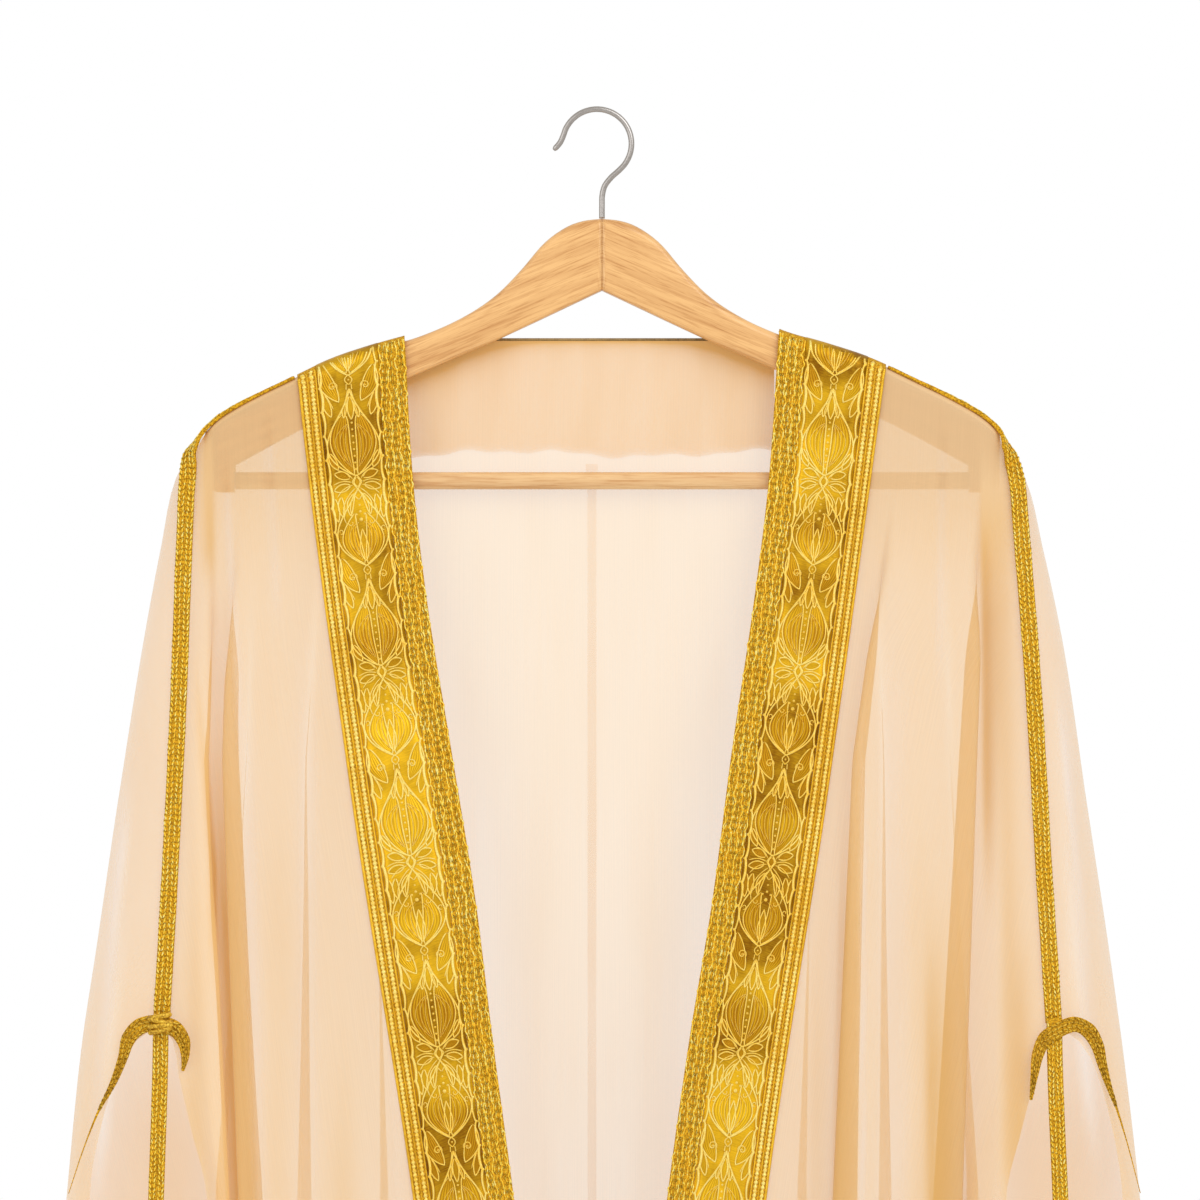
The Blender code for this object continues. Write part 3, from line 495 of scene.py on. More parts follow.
def away_from(piece: bpy.types.Object, middles: Array) -> bpy.types.Object:
    """Turn a piece's faces over if they point to the middles, one for each face."""
    if ((read_faces(piece, "center") - middles) * read_faces(piece, "normal")).sum() < 0:
        piece.data.flip_normals()
    return piece


def with_caps(rings: Array) -> Array:
    """Rings of points, with a ring shrunk to its middle before the first and after the last."""
    caps = [np.broadcast_to(r.mean(0), r.shape)[None] for r in (rings[0], rings[-1])]
    return np.concatenate([caps[0], rings, caps[1]])


class Signal:
    """A socket that takes part in arithmetic; each operator adds a Math node."""

    def __init__(self, bench: "Bench", socket: bpy.types.NodeSocket) -> None:
        """Keep the bench that adds the nodes and the socket."""
        self.bench = bench
        self.socket = socket

    def math(self, operation: str, *values: Any) -> "Signal":
        """A Math node of an operation, on the given values."""
        return self.bench.node("ShaderNodeMath", {"operation": operation}, dict(enumerate(values)))

    def __add__(self, other: Any) -> "Signal":
        """self + other."""
        return self.math("ADD", self, other)

    __radd__ = __add__

    def __sub__(self, other: Any) -> "Signal":
        """self - other."""
        return self.math("SUBTRACT", self, other)

    def __rsub__(self, other: Any) -> "Signal":
        """other - self."""
        return self.math("SUBTRACT", other, self)

    def __mul__(self, other: Any) -> "Signal":
        """self * other."""
        return self.math("MULTIPLY", self, other)

    __rmul__ = __mul__

    def __truediv__(self, other: Any) -> "Signal":
        """self / other."""
        return self.math("DIVIDE", self, other)

    def __pow__(self, other: Any) -> "Signal":
        """self to the power of other."""
        return self.math("POWER", self, other)

    def __abs__(self) -> "Signal":
        """self without its sign."""
        return self.math("ABSOLUTE", self)

    def sine(self) -> "Signal":
        """The sine of self."""
        return self.math("SINE", self)

    def clamp(self, low: float = 0.0, high: float = 1.0) -> "Signal":
        """self kept between two numbers."""
        return self.bench.node("ShaderNodeClamp", {}, {"Value": self, "Min": low, "Max": high})

    def ramp(self, low: float, high: float) -> "Signal":
        """0 at low, 1 at high, eased between."""
        return self.bench.node("ShaderNodeMapRange", {"interpolation_type": "SMOOTHSTEP"},
                               {"Value": self, "From Min": low, "From Max": high})


class Bench:
    """A material's node tree, and the few ways in which this object's finishes add to it."""

    def __init__(self, name: str) -> None:
        """Start a material with an empty Principled shader."""
        self.material = bpy.data.materials.new(name)
        self.material.use_nodes = True
        self.tree = self.material.node_tree
        self.shader = self.tree.nodes["Principled BSDF"]

    def node(self, kind: str, settings: dict[str, Any], inputs: dict[Any, Any], output: Any = 0) -> Signal:
        """Add a node.

        Args:
            kind: the node's type.
            settings: its properties, set first; stops are a ramp's places and colours.
            inputs: values or signals for its sockets, by name or number.
            output: which output to return.

        Returns:
            The chosen output.
        """
        made = self.tree.nodes.new(kind)
        for key, value in settings.items():
            if key == "stops":
                self.set_stops(made.color_ramp, value)
            else:
                setattr(made, key, value)
        for key, value in inputs.items():
            self.feed(made.inputs[key], value)
        return Signal(self, made.outputs[output])

    def set_stops(self, ramp: bpy.types.ColorRamp, stops: Sequence[tuple[float, tuple]]) -> None:
        """Give a ramp its places and colours."""
        while len(ramp.elements) < len(stops):
            ramp.elements.new(1.0)
        for element, (place, colour) in zip(ramp.elements, stops):
            element.position = place
            element.color = (*colour, 1.0)

    def feed(self, socket: bpy.types.NodeSocket, value: Any) -> None:
        """Link a signal to a socket, or set the socket's own value."""
        if isinstance(value, Signal):
            self.tree.links.new(value.socket, socket)
        elif isinstance(value, tuple) and len(value) == 3 and socket.type == "RGBA":
            socket.default_value = (*value, 1.0)
        else:
            socket.default_value = value

    def place(self) -> Signal:
        """Object coordinates."""
        return self.node("ShaderNodeTexCoord", {}, {}, "Object")

    def pattern(self) -> tuple[Signal, Signal]:
        """The two values of the piece's own UV map."""
        uv = self.node("ShaderNodeUVMap", {"uv_map": "UVMap"}, {})
        return self.split(uv)[:2]

    def split(self, vector: Signal) -> tuple[Signal, Signal, Signal]:
        """A vector's three values."""
        made = self.node("ShaderNodeSeparateXYZ", {}, {0: vector}).socket.node
        return tuple(Signal(self, out) for out in made.outputs)

    def join(self, x: Any, y: Any, z: Any = 0.0) -> Signal:
        """A vector from three values."""
        return self.node("ShaderNodeCombineXYZ", {}, {0: x, 1: y, 2: z})

    def noise(self, vector: Signal, scale: float, detail: float = 2.0, rough: float = 0.5) -> Signal:
        """Noise from 0 to 1."""
        return self.node("ShaderNodeTexNoise", {"noise_dimensions": "3D"},
                         {"Vector": vector, "Scale": scale, "Detail": detail, "Roughness": rough})

    def value(self, name: str) -> Signal:
        """A number that the mesh carries for each corner."""
        return self.node("ShaderNodeAttribute", {"attribute_name": name}, {}, "Fac")

    def blend(self, share: Any, first: Any, second: Any, way: str = "MIX") -> Signal:
        """Two colours mixed by a share."""
        return self.node("ShaderNodeMix", {"data_type": "RGBA", "blend_type": way},
                         {0: share, 6: first, 7: second}, 2)

    def bump(self, height: Signal, strength: float, distance: float) -> Signal:
        """A normal from a height."""
        return self.node("ShaderNodeBump", {}, {"Height": height, "Strength": strength, "Distance": distance})

    def finish(self, **sockets: Any) -> bpy.types.Material:
        """Feed the shader's sockets, whose names have underscores for spaces, and return the material."""
        for name, value in sockets.items():
            self.feed(self.shader.inputs[name.replace("_", " ")], value)
        return self.material


Colour = tuple[float, float, float]


@dataclass(frozen=True)
class Finish:
    """A finish: its name, and the material it makes once."""

    name: str

    def material(self) -> bpy.types.Material:
        """The finish's material, made on first use."""
        return bpy.data.materials.get(self.name) or self.make(Bench(self.name))

    def make(self, bench: Bench) -> bpy.types.Material:
        """Build the material's nodes."""
        raise NotImplementedError


@dataclass(frozen=True)
class SheerCloth(Finish):
    """Fine voile: streaked threads, clearer where single, denser over folds, darker where shade is painted.
    """

    thin: Colour = (0.86, 0.58, 0.265)
    # dense is the colour of denser cloth, darker and browner partly as painted shade
    dense: Colour = (0.68, 0.385, 0.110)
    cover: float = 0.45
    gathered_cover: float = 0.50
    cloud: float = 0.10
    veiled: Colour = (0.77, 0.54, 0.31)
    veil_cover: float = 0.40
    through_plain: Colour = (0.34, 0.20, 0.08)
    through_folds: Colour = (0.95, 0.64, 0.27)

    def make(self, bench: Bench) -> bpy.types.Material:
        """Threads are noise stretched down the cloth.

        The mesh carries three values: a density that makes it denser and darker, partly for real
        layers and partly as painted shade in folds, creases and under the hanger; veil, paler and
        closer over the shoulders; and through, which lets more light come through a fold's layers
        and which a faint glow stands in for.
        """
        u, v = bench.pattern()
        threads = bench.noise(bench.join(u * 2200.0, v * 9.0), 1.0, 2.0, 0.6)
        cloudy = bench.noise(bench.join(u * 34.0, v * 7.0), 1.0, 2.0)
        weave = bench.noise(bench.join(u * 3200.0, v * 3200.0), 1.0, 1.0)
        gathered = bench.value("gathered")
        colour = bench.blend((gathered + (cloudy - 0.5) * self.cloud * 3.0).clamp(), self.thin, self.dense)
        veil = bench.value("veil")
        colour = bench.blend(veil.clamp(), colour, self.veiled)
        cover = self.cover + gathered * self.gathered_cover
        cover = cover + (threads - 0.5) * 0.12 + (cloudy - 0.5) * self.cloud
        cover = cover + veil * self.veil_cover
        glow = bench.blend(bench.value("through").clamp(), self.through_plain, self.through_folds)
        relief = threads * 0.7 + weave * 0.3
        return bench.finish(Base_Color=colour, Alpha=cover.clamp(), Roughness=0.62, Sheen_Weight=0.25,
                            Sheen_Roughness=0.4, Specular_IOR_Level=0.25, Emission_Color=glow,
                            Emission_Strength=0.16, Normal=bench.bump(relief, 0.12, 0.0004))


def sheen_patches(bench: Bench) -> Signal:
    """Slow patches of light and dark down a band, wider than they are long, from 0 to 1."""
    x, y, z = bench.split(bench.place())
    return bench.noise(bench.join(x * 7.0, y * 4.0, z * 24.0), 1.0, 1.0).ramp(0.36, 0.64)


@dataclass(frozen=True)
class GoldGround(Finish):
    """Satin ground of metallic thread, its sheen changing in soft patches."""

    bright: Colour = (1.0, 0.60, 0.02)
    dark: Colour = (0.27, 0.11, 0.002)

    def make(self, bench: Bench) -> bpy.types.Material:
        """Fine threads run across the band, over slow patches of light and dark."""
        u, v = bench.pattern()
        threads = bench.noise(bench.join(u * 160.0, v * 2600.0), 1.0, 2.0)
        small = bench.noise(bench.join(u * 150.0, v * 90.0), 1.0, 2.0)
        share = (sheen_patches(bench) * 0.70 + small.ramp(0.3, 0.7) * 0.25 + (threads - 0.5) * 0.8).clamp()
        colour = bench.blend(share, self.dark, self.bright)
        return bench.finish(Base_Color=colour, Metallic=0.55, Roughness=0.38, Specular_IOR_Level=0.15,
                            Normal=bench.bump(threads, 0.35, 0.0003))


@dataclass(frozen=True)
class PetalSatin(Finish):
    """Satin-stitched petals: threads run along each petal, dark between the bright ones."""

    bright: Colour = (1.0, 0.63, 0.022)
    dark: Colour = (0.42, 0.18, 0.003)
    ribs: float = 6.0

    def make(self, bench: Bench) -> bpy.types.Material:
        """u runs across a petal from 0 to 1, so a sine of it gives the ribs."""
        u, v = bench.pattern()
        shade = bench.value("shade")
        wobble = bench.noise(bench.join(u * 3.0, v * 2.0), 1.0, 1.0)
        ribs = ((u * self.ribs + wobble * 0.6) * FULL_TURN).sine() * 0.5 + 0.5
        fine = bench.noise(bench.join(u * 60.0, v * 6.0), 1.0, 2.0)
        share = ribs * 0.45 + shade * 0.22 + (sheen_patches(bench) - 0.35) * 0.55
        share = (share + (fine - 0.5) * 0.4).clamp()
        colour = bench.blend(share, self.dark, self.bright)
        return bench.finish(Base_Color=colour, Metallic=0.55, Roughness=0.34, Specular_IOR_Level=0.15,
                            Normal=bench.bump(ribs + fine * 0.4, 0.5, 0.0004))


@dataclass(frozen=True)
class GoldCord(Finish):
    """Bright gimp cord: thread twisted round a core."""

    bright: Colour = (1.0, 0.87, 0.28)
    dark: Colour = (0.98, 0.58, 0.015)
    pitch: float = 0.9 * MM
    metal: float = 0.4
    rough: float = 0.30

    def make(self, bench: Bench) -> bpy.types.Material:
        """Slanting stripes: a sine of the way along plus the way round."""
        u, v = bench.pattern()
        twist = ((v / self.pitch + u) * FULL_TURN).sine() * 0.5 + 0.5
        worn = bench.noise(bench.join(u * 2.0, v * 260.0), 1.0, 2.0)
        share = (twist * 0.35 + worn.ramp(0.35, 0.62) * 0.40 + sheen_patches(bench) * 0.40).clamp()
        colour = bench.blend(share, self.dark, self.bright)
        return bench.finish(Base_Color=colour, Metallic=self.metal, Roughness=self.rough,
                            Specular_IOR_Level=0.4, Normal=bench.bump(twist, 0.4, 0.0002))


@dataclass(frozen=True)
class ChainThread(Finish):
    """Metallic thread of the chain stitches, some links brighter than others."""

    bright: Colour = (1.0, 0.89, 0.30)
    middle: Colour = (1.0, 0.73, 0.06)
    dark: Colour = (1.0, 0.56, 0.02)

    def make(self, bench: Bench) -> bpy.types.Material:
        """Three colours chosen by noise at the size of a link."""
        place = bench.place()
        links = bench.noise(place, 900.0, 2.0)
        slow = bench.noise(place, 120.0, 1.0)
        share = (links * 0.75 + slow * 0.25).ramp(0.36, 0.66)
        low = bench.blend((share * 2.0).clamp(), self.dark, self.middle)
        colour = bench.blend((share * 2.0 - 1.0).clamp(), low, self.bright)
        fine = bench.noise(place, 4000.0, 1.0)
        return bench.finish(Base_Color=colour, Metallic=0.3, Roughness=0.36, Specular_IOR_Level=0.35,
                            Normal=bench.bump(fine, 0.25, 0.0002))


@dataclass(frozen=True)
class BraidGround(Finish):
    """Dark gold backing that shows between the stitches."""

    bright: Colour = (0.86, 0.48, 0.02)
    dark: Colour = (0.42, 0.20, 0.006)

    def make(self, bench: Bench) -> bpy.types.Material:
        """Fine noise between two browns."""
        grain = bench.noise(bench.place(), 1100.0, 2.0)
        colour = bench.blend(grain.ramp(0.35, 0.65), self.dark, self.bright)
        return bench.finish(Base_Color=colour, Metallic=0.1, Roughness=0.55, Specular_IOR_Level=0.12,
                            Normal=bench.bump(grain, 0.4, 0.0003))


@dataclass(frozen=True)
class PaleWood(Finish):
    """Lacquered wood whose grain runs along the arms and meets at the mitre like a chevron."""

    light: Colour = (0.93, 0.55, 0.22)
    dark: Colour = (0.54, 0.225, 0.055)
    slope: float = 0.42
    mitre: float = 0.45

    def make(self, bench: Bench) -> bpy.types.Material:
        """Grain is noise stretched along z + slope * |x|, with growth rings as a warped sine."""
        x, y, z = bench.split(bench.place())
        reach = abs(x) if self.mitre > 0 else x
        level = z + reach * self.slope
        side = (x * 400.0).clamp(-1.0, 1.0) * 3.7 if self.mitre > 0 else 0.0
        along = reach - z * self.slope
        warp = bench.noise(bench.join(along * 9.0, level * 34.0, y * 20.0 + side), 1.0, 2.0)
        rings = ((level * 240.0 + warp * 6.0 + side) * 2.4).sine() * 0.5 + 0.5
        pores = bench.noise(bench.join(along * 60.0, level * 1250.0, y * 900.0), 1.0, 3.0, 0.65)
        streaks = bench.noise(bench.join(along * 16.0, level * 420.0, y * 300.0), 1.0, 2.0, 0.6)
        mitre = (1.0 - reach.ramp(0.0001, 0.0006)) * self.mitre if self.mitre > 0 else 0.0
        share = (rings * 0.26 + pores.ramp(0.46, 0.72) * 0.48 + streaks.ramp(0.48, 0.74) * 0.42
                 + (warp - 0.5) * 0.4 + mitre).clamp()
        colour = bench.blend(share, self.light, self.dark)
        return bench.finish(Base_Color=colour, Roughness=0.34, Coat_Weight=0.35, Coat_Roughness=0.2)


@dataclass(frozen=True)
class SteelWire(Finish):
    """Polished wire, faintly drawn along its length."""

    colour: Colour = (0.44, 0.42, 0.41)

    def make(self, bench: Bench) -> bpy.types.Material:
        """Roughness and tone vary a little with fine noise."""
        grain = bench.noise(bench.place(), 700.0, 2.0)
        tone = bench.blend(grain.ramp(0.3, 0.7), self.colour, (0.50, 0.48, 0.47))
        return bench.finish(Base_Color=tone, Metallic=1.0, Roughness=grain * 0.06 + 0.27)


@dataclass(frozen=True)
class PaleFloor(Finish):
    """Plain pale floor."""

    def make(self, bench: Bench) -> bpy.types.Material:
        """A little uneven in tone."""
        tone = bench.blend(bench.noise(bench.place(), 2.0, 2.0), (0.86, 0.86, 0.86), (0.90, 0.90, 0.90))
        return bench.finish(Base_Color=tone, Roughness=0.8)


CLOTH = SheerCloth("sheer_voile")
FACING = SheerCloth("facing_voile", thin=(0.84, 0.54, 0.24), dense=(0.66, 0.38, 0.12), cover=0.50, cloud=0.35)
GROUND = GoldGround("gold_satin_ground")
PETALS = PetalSatin("gold_petal_satin")
OUTLINE = GoldCord("bright_gold_cord")
BORDER_CORD = GoldCord("border_gold_cord", bright=(1.0, 0.62, 0.03), dark=(0.60, 0.31, 0.008))
PIPING = GoldCord("dark_piping_cord", bright=(0.42, 0.30, 0.13), dark=(0.20, 0.13, 0.05), metal=0.1,
                  rough=0.6)
CHAIN = ChainThread("chain_stitch_thread")
ARCH_CHAIN = ChainThread("arch_stitch_thread", bright=(0.95, 0.66, 0.08), middle=(0.74, 0.44, 0.03),
                         dark=(0.42, 0.22, 0.01))
BACKING = BraidGround("braid_backing")
WOOD = PaleWood("pale_lacquered_wood")
BAR_WOOD = PaleWood("bar_wood", light=(0.90, 0.60, 0.30), dark=(0.60, 0.28, 0.09), slope=0.0, mitre=0.0)
STEEL = SteelWire("polished_wire")
FLOOR = PaleFloor("pale_floor")


@dataclass(frozen=True)
class Stuff:
    """Flat ornament: corners as (across, down, height) in millimetres, triangles, UV and shade."""

    points: Array
    faces: NDArray[np.int64]
    uv: Array
    shade: Array

    def moved(self, across: float = 0.0, down: float = 0.0, mirror: bool = False) -> "Stuff":
        """A copy moved on the flat, mirrored across first if wanted."""
        points = self.points * np.array([-1.0 if mirror else 1.0, 1.0, 1.0]) + np.array([across, down, 0.0])
        faces = self.faces[:, ::-1] if mirror else self.faces
        return Stuff(points, faces, self.uv, self.shade)


def gather(parts: Sequence[Stuff]) -> Stuff:
    """Several pieces of ornament as one."""
    offsets = np.cumsum([0] + [len(p.points) for p in parts[:-1]])
    return Stuff(np.concatenate([p.points for p in parts]),
                 np.concatenate([p.faces + o for p, o in zip(parts, offsets)]),
                 np.concatenate([p.uv for p in parts]), np.concatenate([p.shade for p in parts]))


def repeated(stuff: Stuff, pitch: float, count: int) -> Stuff:
    """Ornament repeated down the band at a pitch."""
    steps = np.arange(count)
    points = stuff.points[None] + (steps[:, None, None] * pitch) * np.array([0.0, 1.0, 0.0])
    faces = stuff.faces[None] + steps[:, None, None] * len(stuff.points)
    return Stuff(points.reshape(-1, 3), faces.reshape(-1, 3), np.tile(stuff.uv, (count, 1)),
                 np.tile(stuff.shade, count))


def triangles(quads: NDArray[np.int64]) -> NDArray[np.int64]:
    """Each quad as two triangles."""
    return np.concatenate([quads[:, [0, 1, 2]], quads[:, [0, 2, 3]]])


def stitched_line(path: Array, width: float, height: float, taper: float = 0.12,
                  spread: Array | None = None) -> Stuff:
    """A half-round cord along a flat path.

    At each point of the path a section of five corners spans the width; its top is a half
    ellipse of the given height.  Both ends taper to a point over a share of the length.

    Args:
        path: points (across, down) in millimetres.
        width: the cord's width.
        height: the cord's height.
        taper: share of the length that narrows at each end; 0 for none.
        spread: a factor on the section for each point.

    Returns:
        The cord as ornament.
    """
    steps = np.gradient(path, axis=0)
    beside = unit(np.stack([steps[:, 1], -steps[:, 0]], -1))
    far = np.concatenate([[0.0], np.cumsum(np.linalg.norm(np.diff(path, axis=0), axis=1))])
    share = far / max(far[-1], 1e-9)
    size = np.ones_like(share)
    if taper > 0:
        size = np.sqrt(np.clip(np.minimum(share, 1 - share) / taper, 0.004, 1.0))
    if spread is not None:
        size = size * spread
    angles = np.radians([0.0, 48.0, 90.0, 132.0, 180.0])
    aside = np.cos(angles) * width / 2
    up = np.sin(angles) * height - 0.12
    flat = path[:, None, :] + beside[:, None, :] * (aside[None, :] * size[:, None])[..., None]
    rise = up[None, :] * np.minimum(size, 1.3)[:, None]
    points = np.concatenate([flat, rise[..., None]], -1)
    around = np.linspace(0, 1, 5)
    uv = np.stack(np.broadcast_arrays(around[None, :], far[:, None] * MM), -1)
    faces = triangles(grid_faces(len(path), 5, wrap=True))
    return Stuff(points.reshape(-1, 3), faces, uv.reshape(-1, 2), np.ones(points.size // 3))


def bead(at: tuple[float, float], radius: float, height: float) -> Stuff:
    """A small dome: rings of eight corners whose radius and height follow a quarter circle."""
    angle = np.radians([4.0, 35.0, 65.0, 90.0])[:, None]
    turn = np.linspace(0, 2 * np.pi, 9)[None, :-1]
    across = at[0] + radius * np.cos(angle) * np.cos(turn)
    down = at[1] + radius * np.cos(angle) * np.sin(turn)
    up = np.broadcast_to(height * np.sin(angle) - 0.1, across.shape)
    points = np.stack([across, down, up], -1).reshape(-1, 3)
    uv = np.stack(np.broadcast_arrays(turn / FULL_TURN, angle * MM), -1).reshape(-1, 2)
    return Stuff(points, triangles(grid_faces(4, 8, wrap=True))[:, ::-1], uv, np.ones(len(points)))


def petal(start: tuple[float, float], end: tuple[float, float], width: float, bend: float = 0.0,
          shade: float = 0.6, height: float = 0.45, belly: float = 0.5) -> tuple[Stuff, Stuff]:
    """A satin-stitched petal and the cord round it.

    The middle line runs from start to end and bends aside by a half sine; the half width is
    a power of a sine, widest at `belly` of the length; the top is a low dome.

    Returns:
        The petal and its outline.
    """
    u = np.linspace(0.0, 1.0, 17)[:, None]
    v = np.linspace(-1.0, 1.0, 9)[None, :]
    a, b = np.array(start, float), np.array(end, float)
    way = b - a
    aside = unit(np.array([way[1], -way[0]]))
    middle = a + way * u + aside * bend * np.sin(np.pi * u)
    half = width / 2 * np.sin(np.pi * u ** (np.log(0.5) / np.log(belly))) ** 0.75
    flat = middle[:, None, :] + aside * (half * v)[..., None]
    up = height * np.sqrt(np.clip(1 - v**2, 0, 1)) * np.sin(np.pi * np.clip(u, 0.02, 0.98)) ** 0.4 - 0.05
    points = np.concatenate([flat, up[..., None]], -1).reshape(-1, 3)
    uv = np.stack(np.broadcast_arrays((v + 1) / 2, u), -1).reshape(-1, 2)
    faces = triangles(grid_faces(17, 9))
    body = Stuff(points, faces, uv, np.full(len(points), shade))
    rim = np.concatenate([flat[:, 0], flat[::-1, -1]])
    return body, stitched_line(rim, 0.95, 0.75, taper=0.04)


@dataclass
class Brocade:
    """The flowered repeat of the wide band, drawn on the flat in millimetres.

    Two vines swing out from a star flower to the band's edges, meet in a small ring, swing out
    again and meet in the next star flower.  The first cell holds a palmette, the second a pair
    of ribbed petals with a beaded stem, and curls fill the corners.
    """

    repeat: float = 106.0
    cell: float = 50.0
    half: float = 15.6
    threads: list[Stuff] = field(default_factory=list)
    petals: list[Stuff] = field(default_factory=list)

    def line(self, path: Array, width: float = 0.95, height: float = 0.75, both: bool = True,
             taper: float = 0.1) -> None:
        """Add a cord, and its mirror image across the band's middle."""
        made = stitched_line(path, width, height, taper)
        self.threads.append(made)
        if both:
            self.threads.append(made.moved(mirror=True))

    def leaf(self, start: tuple[float, float], end: tuple[float, float], width: float, bend: float = 0.0,
             shade: float = 0.6, both: bool = True, belly: float = 0.5) -> None:
        """Add a petal with its outline, and its mirror image."""
        body, rim = petal(start, end, width, bend, shade, belly=belly)
        self.petals.append(body)
        self.threads.append(rim)
        if both:
            self.petals.append(body.moved(mirror=True))
            self.threads.append(rim.moved(mirror=True))

    def dot(self, at: tuple[float, float], radius: float = 0.85, both: bool = True) -> None:
        """Add a bead, and its mirror image if it is off the middle."""
        self.threads.append(bead(at, radius, radius * 0.9))
        if both and at[0] != 0.0:
            self.threads.append(bead((-at[0], at[1]), radius, radius * 0.9))

    def ogee(self, top: float, foot: float, reach: float, lean: float, start: float = 0.0) -> Array:
        """A vine's path: across = start + (reach - start) * sin(pi s^lean)^0.85 as s goes from 0 to 1."""
        s = np.linspace(0.0, 1.0, 60)
        across = start + (reach - start) * np.sin(np.pi * s**lean) ** 0.85
        return np.stack([across, top + (foot - top) * s], -1)

    def spiral(self, at: tuple[float, float], radius: float, turns: float, begin: float) -> Array:
        """A curl: the radius shrinks evenly to a fifth as the angle turns."""
        s = np.linspace(0.0, 1.0, 34)
        angle = begin + s * turns * 2 * np.pi
        r = radius * (1 - 0.8 * s)
        return np.stack([at[0] + r * np.cos(angle), at[1] + r * np.sin(angle)], -1)

    def draw(self) -> tuple[Stuff, Stuff]:
        """Draw one repeat and return its petals and its cords."""
        self.line(self.ogee(3.5, self.cell - 3.4, 14.0, 1.40), 1.1, 0.9, taper=0.0)
        self.line(self.ogee(self.cell + 4.0, self.repeat - 3.5, 14.2, 1.70), 1.1, 0.9, taper=0.0)
        self.star(0.0)
        self.bulb(0.0)
        self.ring(self.cell)
        self.bell(self.cell)
        self.twin_petals(self.cell)
        self.corners()
        self.scallops()
        return gather(self.petals), gather(self.threads)

    def star(self, at: float) -> None:
        """A diamond with curved rays to both sides and dark leaves between them."""
        s = np.linspace(0.0, 1.0, 14)
        for low, high in ((0.0, 0.5 * np.pi), (0.5 * np.pi, np.pi)):
            corner = np.array([[2.7 * np.sin(turn), -4.0 * np.cos(turn)] for turn in (low, high)])
            self.line(corner[0] + (corner[1] - corner[0]) * s[:, None] + [0.0, at], 0.95, 0.95, taper=0.0)
        for angle, reach in ((0.95, 12.5), (1.62, 13.2), (2.15, 14.0)):
            way = np.array([np.sin(angle), -np.cos(angle)])
            bend = np.array([way[1], -way[0]])
            path = (way * (2.6 + (reach - 2.6) * s[:, None])) + bend * 1.3 * np.sin(np.pi * s[:, None])
            self.line(path + [0.0, at], 0.8, 0.85)
        self.leaf((3.6, at - 2.4), (11.8, at - 5.4), 4.2, 0.3, 0.0)
        self.leaf((3.8, at + 1.6), (12.8, at + 3.8), 4.2, 0.0, 0.0)
        self.leaf((0.0, at - 2.6), (0.0, at + 2.6), 3.4, 0.0, 0.2, both=False)

    def bulb(self, at: float) -> None:
        """Hooks that hang from the star over a pair of wide ribbed petals that meet at the ring."""
        s = np.linspace(0.0, 1.0, 26)
        self.leaf((3.2, at + 17.0), (1.0, at + 45.5), 9.6, 4.6, 0.75, belly=0.55)
        self.leaf((0.0, at + 26.0), (0.0, at + 44.0), 4.6, 0.0, 1.0, both=False, belly=0.6)
        self.leaf((2.2, at + 6.2), (5.4, at + 18.4), 3.4, 1.2, 0.5)
        for reach, length, low in ((8.6, 20.0, 3.0), (4.4, 14.5, 5.0)):
            hook = np.stack([reach * np.sin(np.pi * 0.68 * s) + 0.8, at + low + length * s**1.15], -1)
            self.line(hook, 0.8, 0.95)
        self.line(self.spiral((5.6, at + 22.4), 1.9, 0.9, -0.9), 0.7, 0.95)
        self.line(np.stack([2.2 * s, at + 10.0 - 2.6 * s], -1), 0.75, 0.9)
        for across, down, size in ((0.0, 21.0, 1.15), (0.0, 16.5, 0.8), (2.3, 18.0, 0.7), (0.0, 12.8, 0.6)):
            self.dot((across, at + down), size)
        for reach in (3.4, 6.4):
            rib = np.stack([1.2 + reach * np.sin(np.pi * s**0.8), at + 22.0 + 21.0 * s], -1)
            self.line(rib, 0.4, 0.95)

    def ring(self, at: float) -> None:
        """A small diamond between two bars, where the vines meet."""
        s = np.linspace(0.0, 1.0, 12)
        self.line(np.stack([1.9 * np.sin(np.pi * s), at - 3.6 + 5.4 * s], -1), 0.85, 0.95, taper=0.0)
        self.line(np.stack([1.3 + 0.2 * s, at + 1.4 + 3.0 * s], -1), 0.8, 0.9, taper=0.0)
        self.dot((0.0, at - 0.9), 0.6)

    def bell(self, at: float) -> None:
        """A narrow bell below the ring, with petals inside it."""
        s = np.linspace(0.0, 1.0, 22)
        self.line(np.stack([0.9 + 5.4 * s**1.6, at + 4.0 + 15.0 * s], -1), 0.85, 0.9)
        self.line(np.stack([0.5 + 3.0 * np.sin(0.5 * np.pi * s), at + 9.0 + 10.0 * s], -1), 0.75, 0.9)
        self.leaf((0.0, at + 8.0), (0.0, at + 21.0), 3.4, 0.0, 0.9, both=False)
        self.leaf((2.0, at + 12.0), (4.0, at + 20.0), 2.2, 0.4, 0.8)

    def twin_petals(self, at: float) -> None:
        """Two broad ribbed petals, side by side, with a beaded stem between them."""
        s = np.linspace(0.0, 1.0, 26)
        self.leaf((4.0, at + 17.5), (1.2, at + 52.0), 10.6, 4.4, 0.35, belly=0.44)
        for reach in (2.6, 5.4, 8.2):
            rib = np.stack([1.6 + reach * np.sin(np.pi * s**0.85), at + 23.0 + 25.0 * s], -1)
            self.line(rib, 0.4, 0.95)
        for down in np.arange(at + 23.0, at + 50.0, 3.7):
            self.dot((0.0, down), 0.7)

